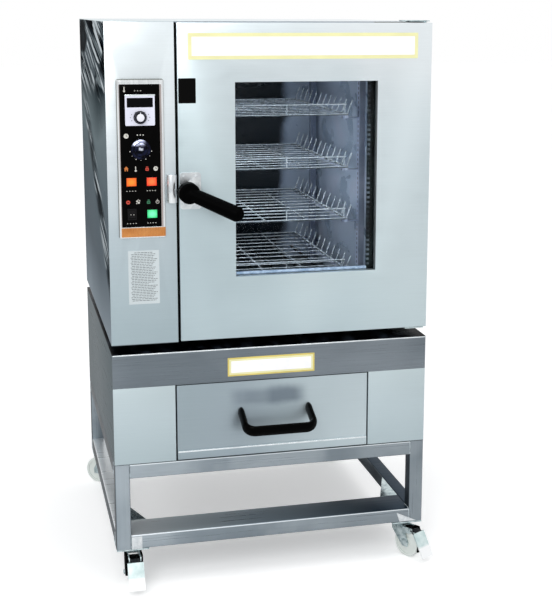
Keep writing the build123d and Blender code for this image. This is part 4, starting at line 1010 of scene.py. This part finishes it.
def caption(x0, x1, z):
    """A row of small dashes."""
    count = int((x1 - x0) / 6.2)
    for i in range(count):
        x = x0 + i * (x1 - x0) / count
        dash(white, x, x + 3.0, z - 0.7, z + 0.5, corner=0.2)
        dash(white, x + 0.8, x + 2.0, z - 1.5, z - 1.1, corner=0.1)


def clock(x, z, radius):
    dot(white, x, z, radius)
    mark(x - 0.5, x + 0.5, z - radius * 0.72, z + 0.5)
    mark(x - 0.5, x + radius * 0.62, z - 0.5, z + 0.5)


def thermometer(x, z):
    dot(white, x, z + 4.2, 2.6)
    dash(white, x - 1.1, x + 1.1, z - 6.5, z + 3, corner=0.9)


def jar(bm, x, z):
    dash(bm, x - 4.2, x + 4.2, z - 2.6, z + 5, corner=1.8)
    dash(bm, x - 2.8, x + 2.8, z - 5.4, z - 3.6, corner=0.6)
    mark(x - 2.6, x + 2.6, z + 0.2, z + 1.6)


def house(bm, x, z):
    dash(bm, x - 4, x + 4, z - 1, z + 5, corner=0.6)
    roof = bmesh.ops.create_cone(bm, segments=3, radius1=6.4 * MM, radius2=6.4 * MM,
                                 depth=print_height * MM, cap_ends=True)["verts"]
    bmesh.ops.rotate(bm, verts=roof, matrix=Matrix.Rotation(pi / 2, 3, "X"))
    bmesh.ops.scale(bm, verts=roof, vec=(1, 1, 0.62))
    bmesh.ops.translate(bm, verts=roof,
                        vec=(across(x), overlay_face - print_height / 2 * MM, down(z - 3)))
    mark(x - 1.2, x + 1.2, z + 1, z + 5)


thermometer(45, 162)
caption(69, 90, 166)
clock(47.5, 275, 6)
for x in (75, 82, 89):
    dot(white, x, 273, 1.6)
house(orange, 46, 356)
thermometer(69, 356)
jar(red, 97, 356)
clock(118, 356, 5.6)
for x0, x1 in ((45, 73), (95, 121)):
    caption(x0, x1, 410.5)
    caption(x0, x1, 491)
dot(red, 49, 438, 5)
mark(46.5, 51.5, 437.3, 438.7)
for x, z, size in ((71, 436, 2.4), (75, 439.5, 2.6), (77, 434.6, 1.6), (70, 441.5, 1.4), (73.5, 432.5, 1.2)):
    dot(white, x, z, size)
jar(green, 99, 438)
dot(white, 121, 438.6, 4.4, inner=3.2)
dash(white, 120.4, 121.6, 431.6, 438.4, corner=0.5)
for x in (55, 62):
    dot(white, x, 468.5, 1.0, base=3.0)
for name, bm, colour in (("white", white, print_white), ("orange", orange, print_orange),
                         ("red", red, print_red), ("green", green, print_green),
                         ("dark", dark, scale_black)):
    show(f"print_marks_{name}", bm, "cabinet", "black_plastic", colour)

# Thermostat face: dark scale window, bright top rim, scale marks
case_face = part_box("controller_case")[0].y
bar("scale_window", "cabinet", "black_plastic", scale_black,
    (across(50.5), case_face - 0.3 * MM, down(205.5)), (across(113.5), case_face + 1.2 * MM, down(182.5)),
    0.8, 3, along=1)
bar("controller_rim", "cabinet", "controller_white", silver_edge,
    (across(45), case_face - 0.8 * MM, down(178)), (across(119), case_face + 0.5 * MM, down(174.4)), 0.6)
bm = bmesh.new()
for i in range(9):
    turn = radians(210 - i * 30)
    x, z = dial_x + 23.5 * cos(turn), temperature_level - 14.5 * sin(turn)
    slab(bm, (across(x - 1.1), case_face - 0.2 * MM, down(z + 0.9)),
         (across(x + 1.1), case_face, down(z - 0.9)))
show("scale_marks", bm, "cabinet", "controller_white", print_grey)

# Temperature knob: fluted dark ring and a pale cap
knob_centre = Vector((across(dial_x), case_face - 0.6 * MM, down(temperature_level)))
flute_depth, flute_inner, flutes_per_radian = 0.05, 12 * MM, 100
bm = bmesh.new()
lathe(bm, [(0, 0), (0, 16), (1.2, 16), (3, 14.6), (9, 13.6), (10, 12.8), (10, 0)], knob_centre, forward, 72)
for v in bm.verts:
    offset = v.co - knob_centre
    if offset.y < -2 * MM and offset.xz.length > flute_inner:
        flute = round(offset.xy.angle(Vector((1, 0)), 0) * flutes_per_radian)
        v.co.x -= offset.x * flute_depth * (flute % 2)
        v.co.z -= offset.z * flute_depth * (flute % 2)
show("temperature_knob_ring", bm, "temperature_knob", "dial_chrome", dial_blue, "temperature_knob")
bm = bmesh.new()
lathe(bm, [(0, 0), (0, 9.4), (1.2, 9), (1.8, 7.6), (1.8, 0)], knob_centre + forward * 10 * MM, forward, 40)
slab(bm, knob_centre + Vector((-0.7, -10.6, 8)) * MM, knob_centre + Vector((0.7, -9.8, 13)) * MM)
show("temperature_knob_cap", bm, "temperature_knob", "dial_chrome", cap_white)

# Timer: dark dial with white marks, chrome knob with a grip bar
timer_centre = Vector((across(dial_x), overlay_face - 3.2 * MM, down(timer_level)))
scale_radius = 26.6 * MM
bm = bmesh.new()
for i in range(7):
    turn = radians(100 + i * 26.7)
    size = 0.8 if i % 2 else 1.3
    lathe(bm, [(0, 0), (0, size), (0.3, size), (0.3, 0)],
          timer_centre + Vector((sin(turn), 0, cos(turn))) * scale_radius, forward, 12)
show("timer_marks", bm, "cabinet", "black_plastic", print_white)
bm = bmesh.new()
knob_base = timer_centre + forward * 0.5 * MM
lathe(bm, [(0, 0), (0, 24), (1, 24), (2.6, 22), (4, 18.5), (11, 16.5), (13, 14.5), (13.6, 11), (13.6, 0)],
      knob_base, forward, 56)
show("timer_knob_skirt", bm, "timer_knob", "dial_chrome", knob_chrome, "timer_knob")
bar("timer_knob_bar", "timer_knob", "dial_chrome", knob_chrome, knob_base + Vector((-2.4, -15.6, -14)) * MM,
    knob_base + Vector((2.4, -13, 14)) * MM, 1.0, 3)

# Bright strip along the drawer's folded lip: a painted highlight
drawer_low, drawer_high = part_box("drawer_front")
bar("drawer_lip_highlight", "drawer", "casing_steel", silver_edge,
    (drawer_low.x + 1 * MM, drawer_low.y - 0.2 * MM, down(1094)),
    (drawer_high.x - 1 * MM, drawer_low.y + 1.2 * MM, down(1090)), 0.9, 3)

# Bright strip along the top edge of the front band: a painted highlight
bar("band_top_highlight", "cabinet", "brushed_steel", silver_edge,
    (left + 1 * MM, front - 0.2 * MM, band_high.z - 3.2 * MM),
    (right - 1 * MM, front + 1.5 * MM, band_high.z + 0.1 * MM), 0.9, 3)

# Bright cleats at the feet of the front legs
cleat_thickness = 1.6 * MM
bar("left_cleat", "cabinet", "zinc", keeper_metal,
    (across(39), front - cleat_thickness, stand_low.z + 0.2 * MM),
    (across(66), front, stand_low.z + 34 * MM), 0.7)
bm = bmesh.new()
prism(bm, [(across(x), front, down(z)) for x, z in ((757, 1317), (813, 1343.5), (766, 1343.5))],
      (0, -cleat_thickness, 0))
bmesh.ops.recalc_face_normals(bm, faces=bm.faces)
turned_edges(bm, list(bm.edges), 0.6 * MM)
show("right_cleat", bm, "cabinet", "zinc", keeper_metal)

bpy.context.scene.view_settings.view_transform = "Standard"
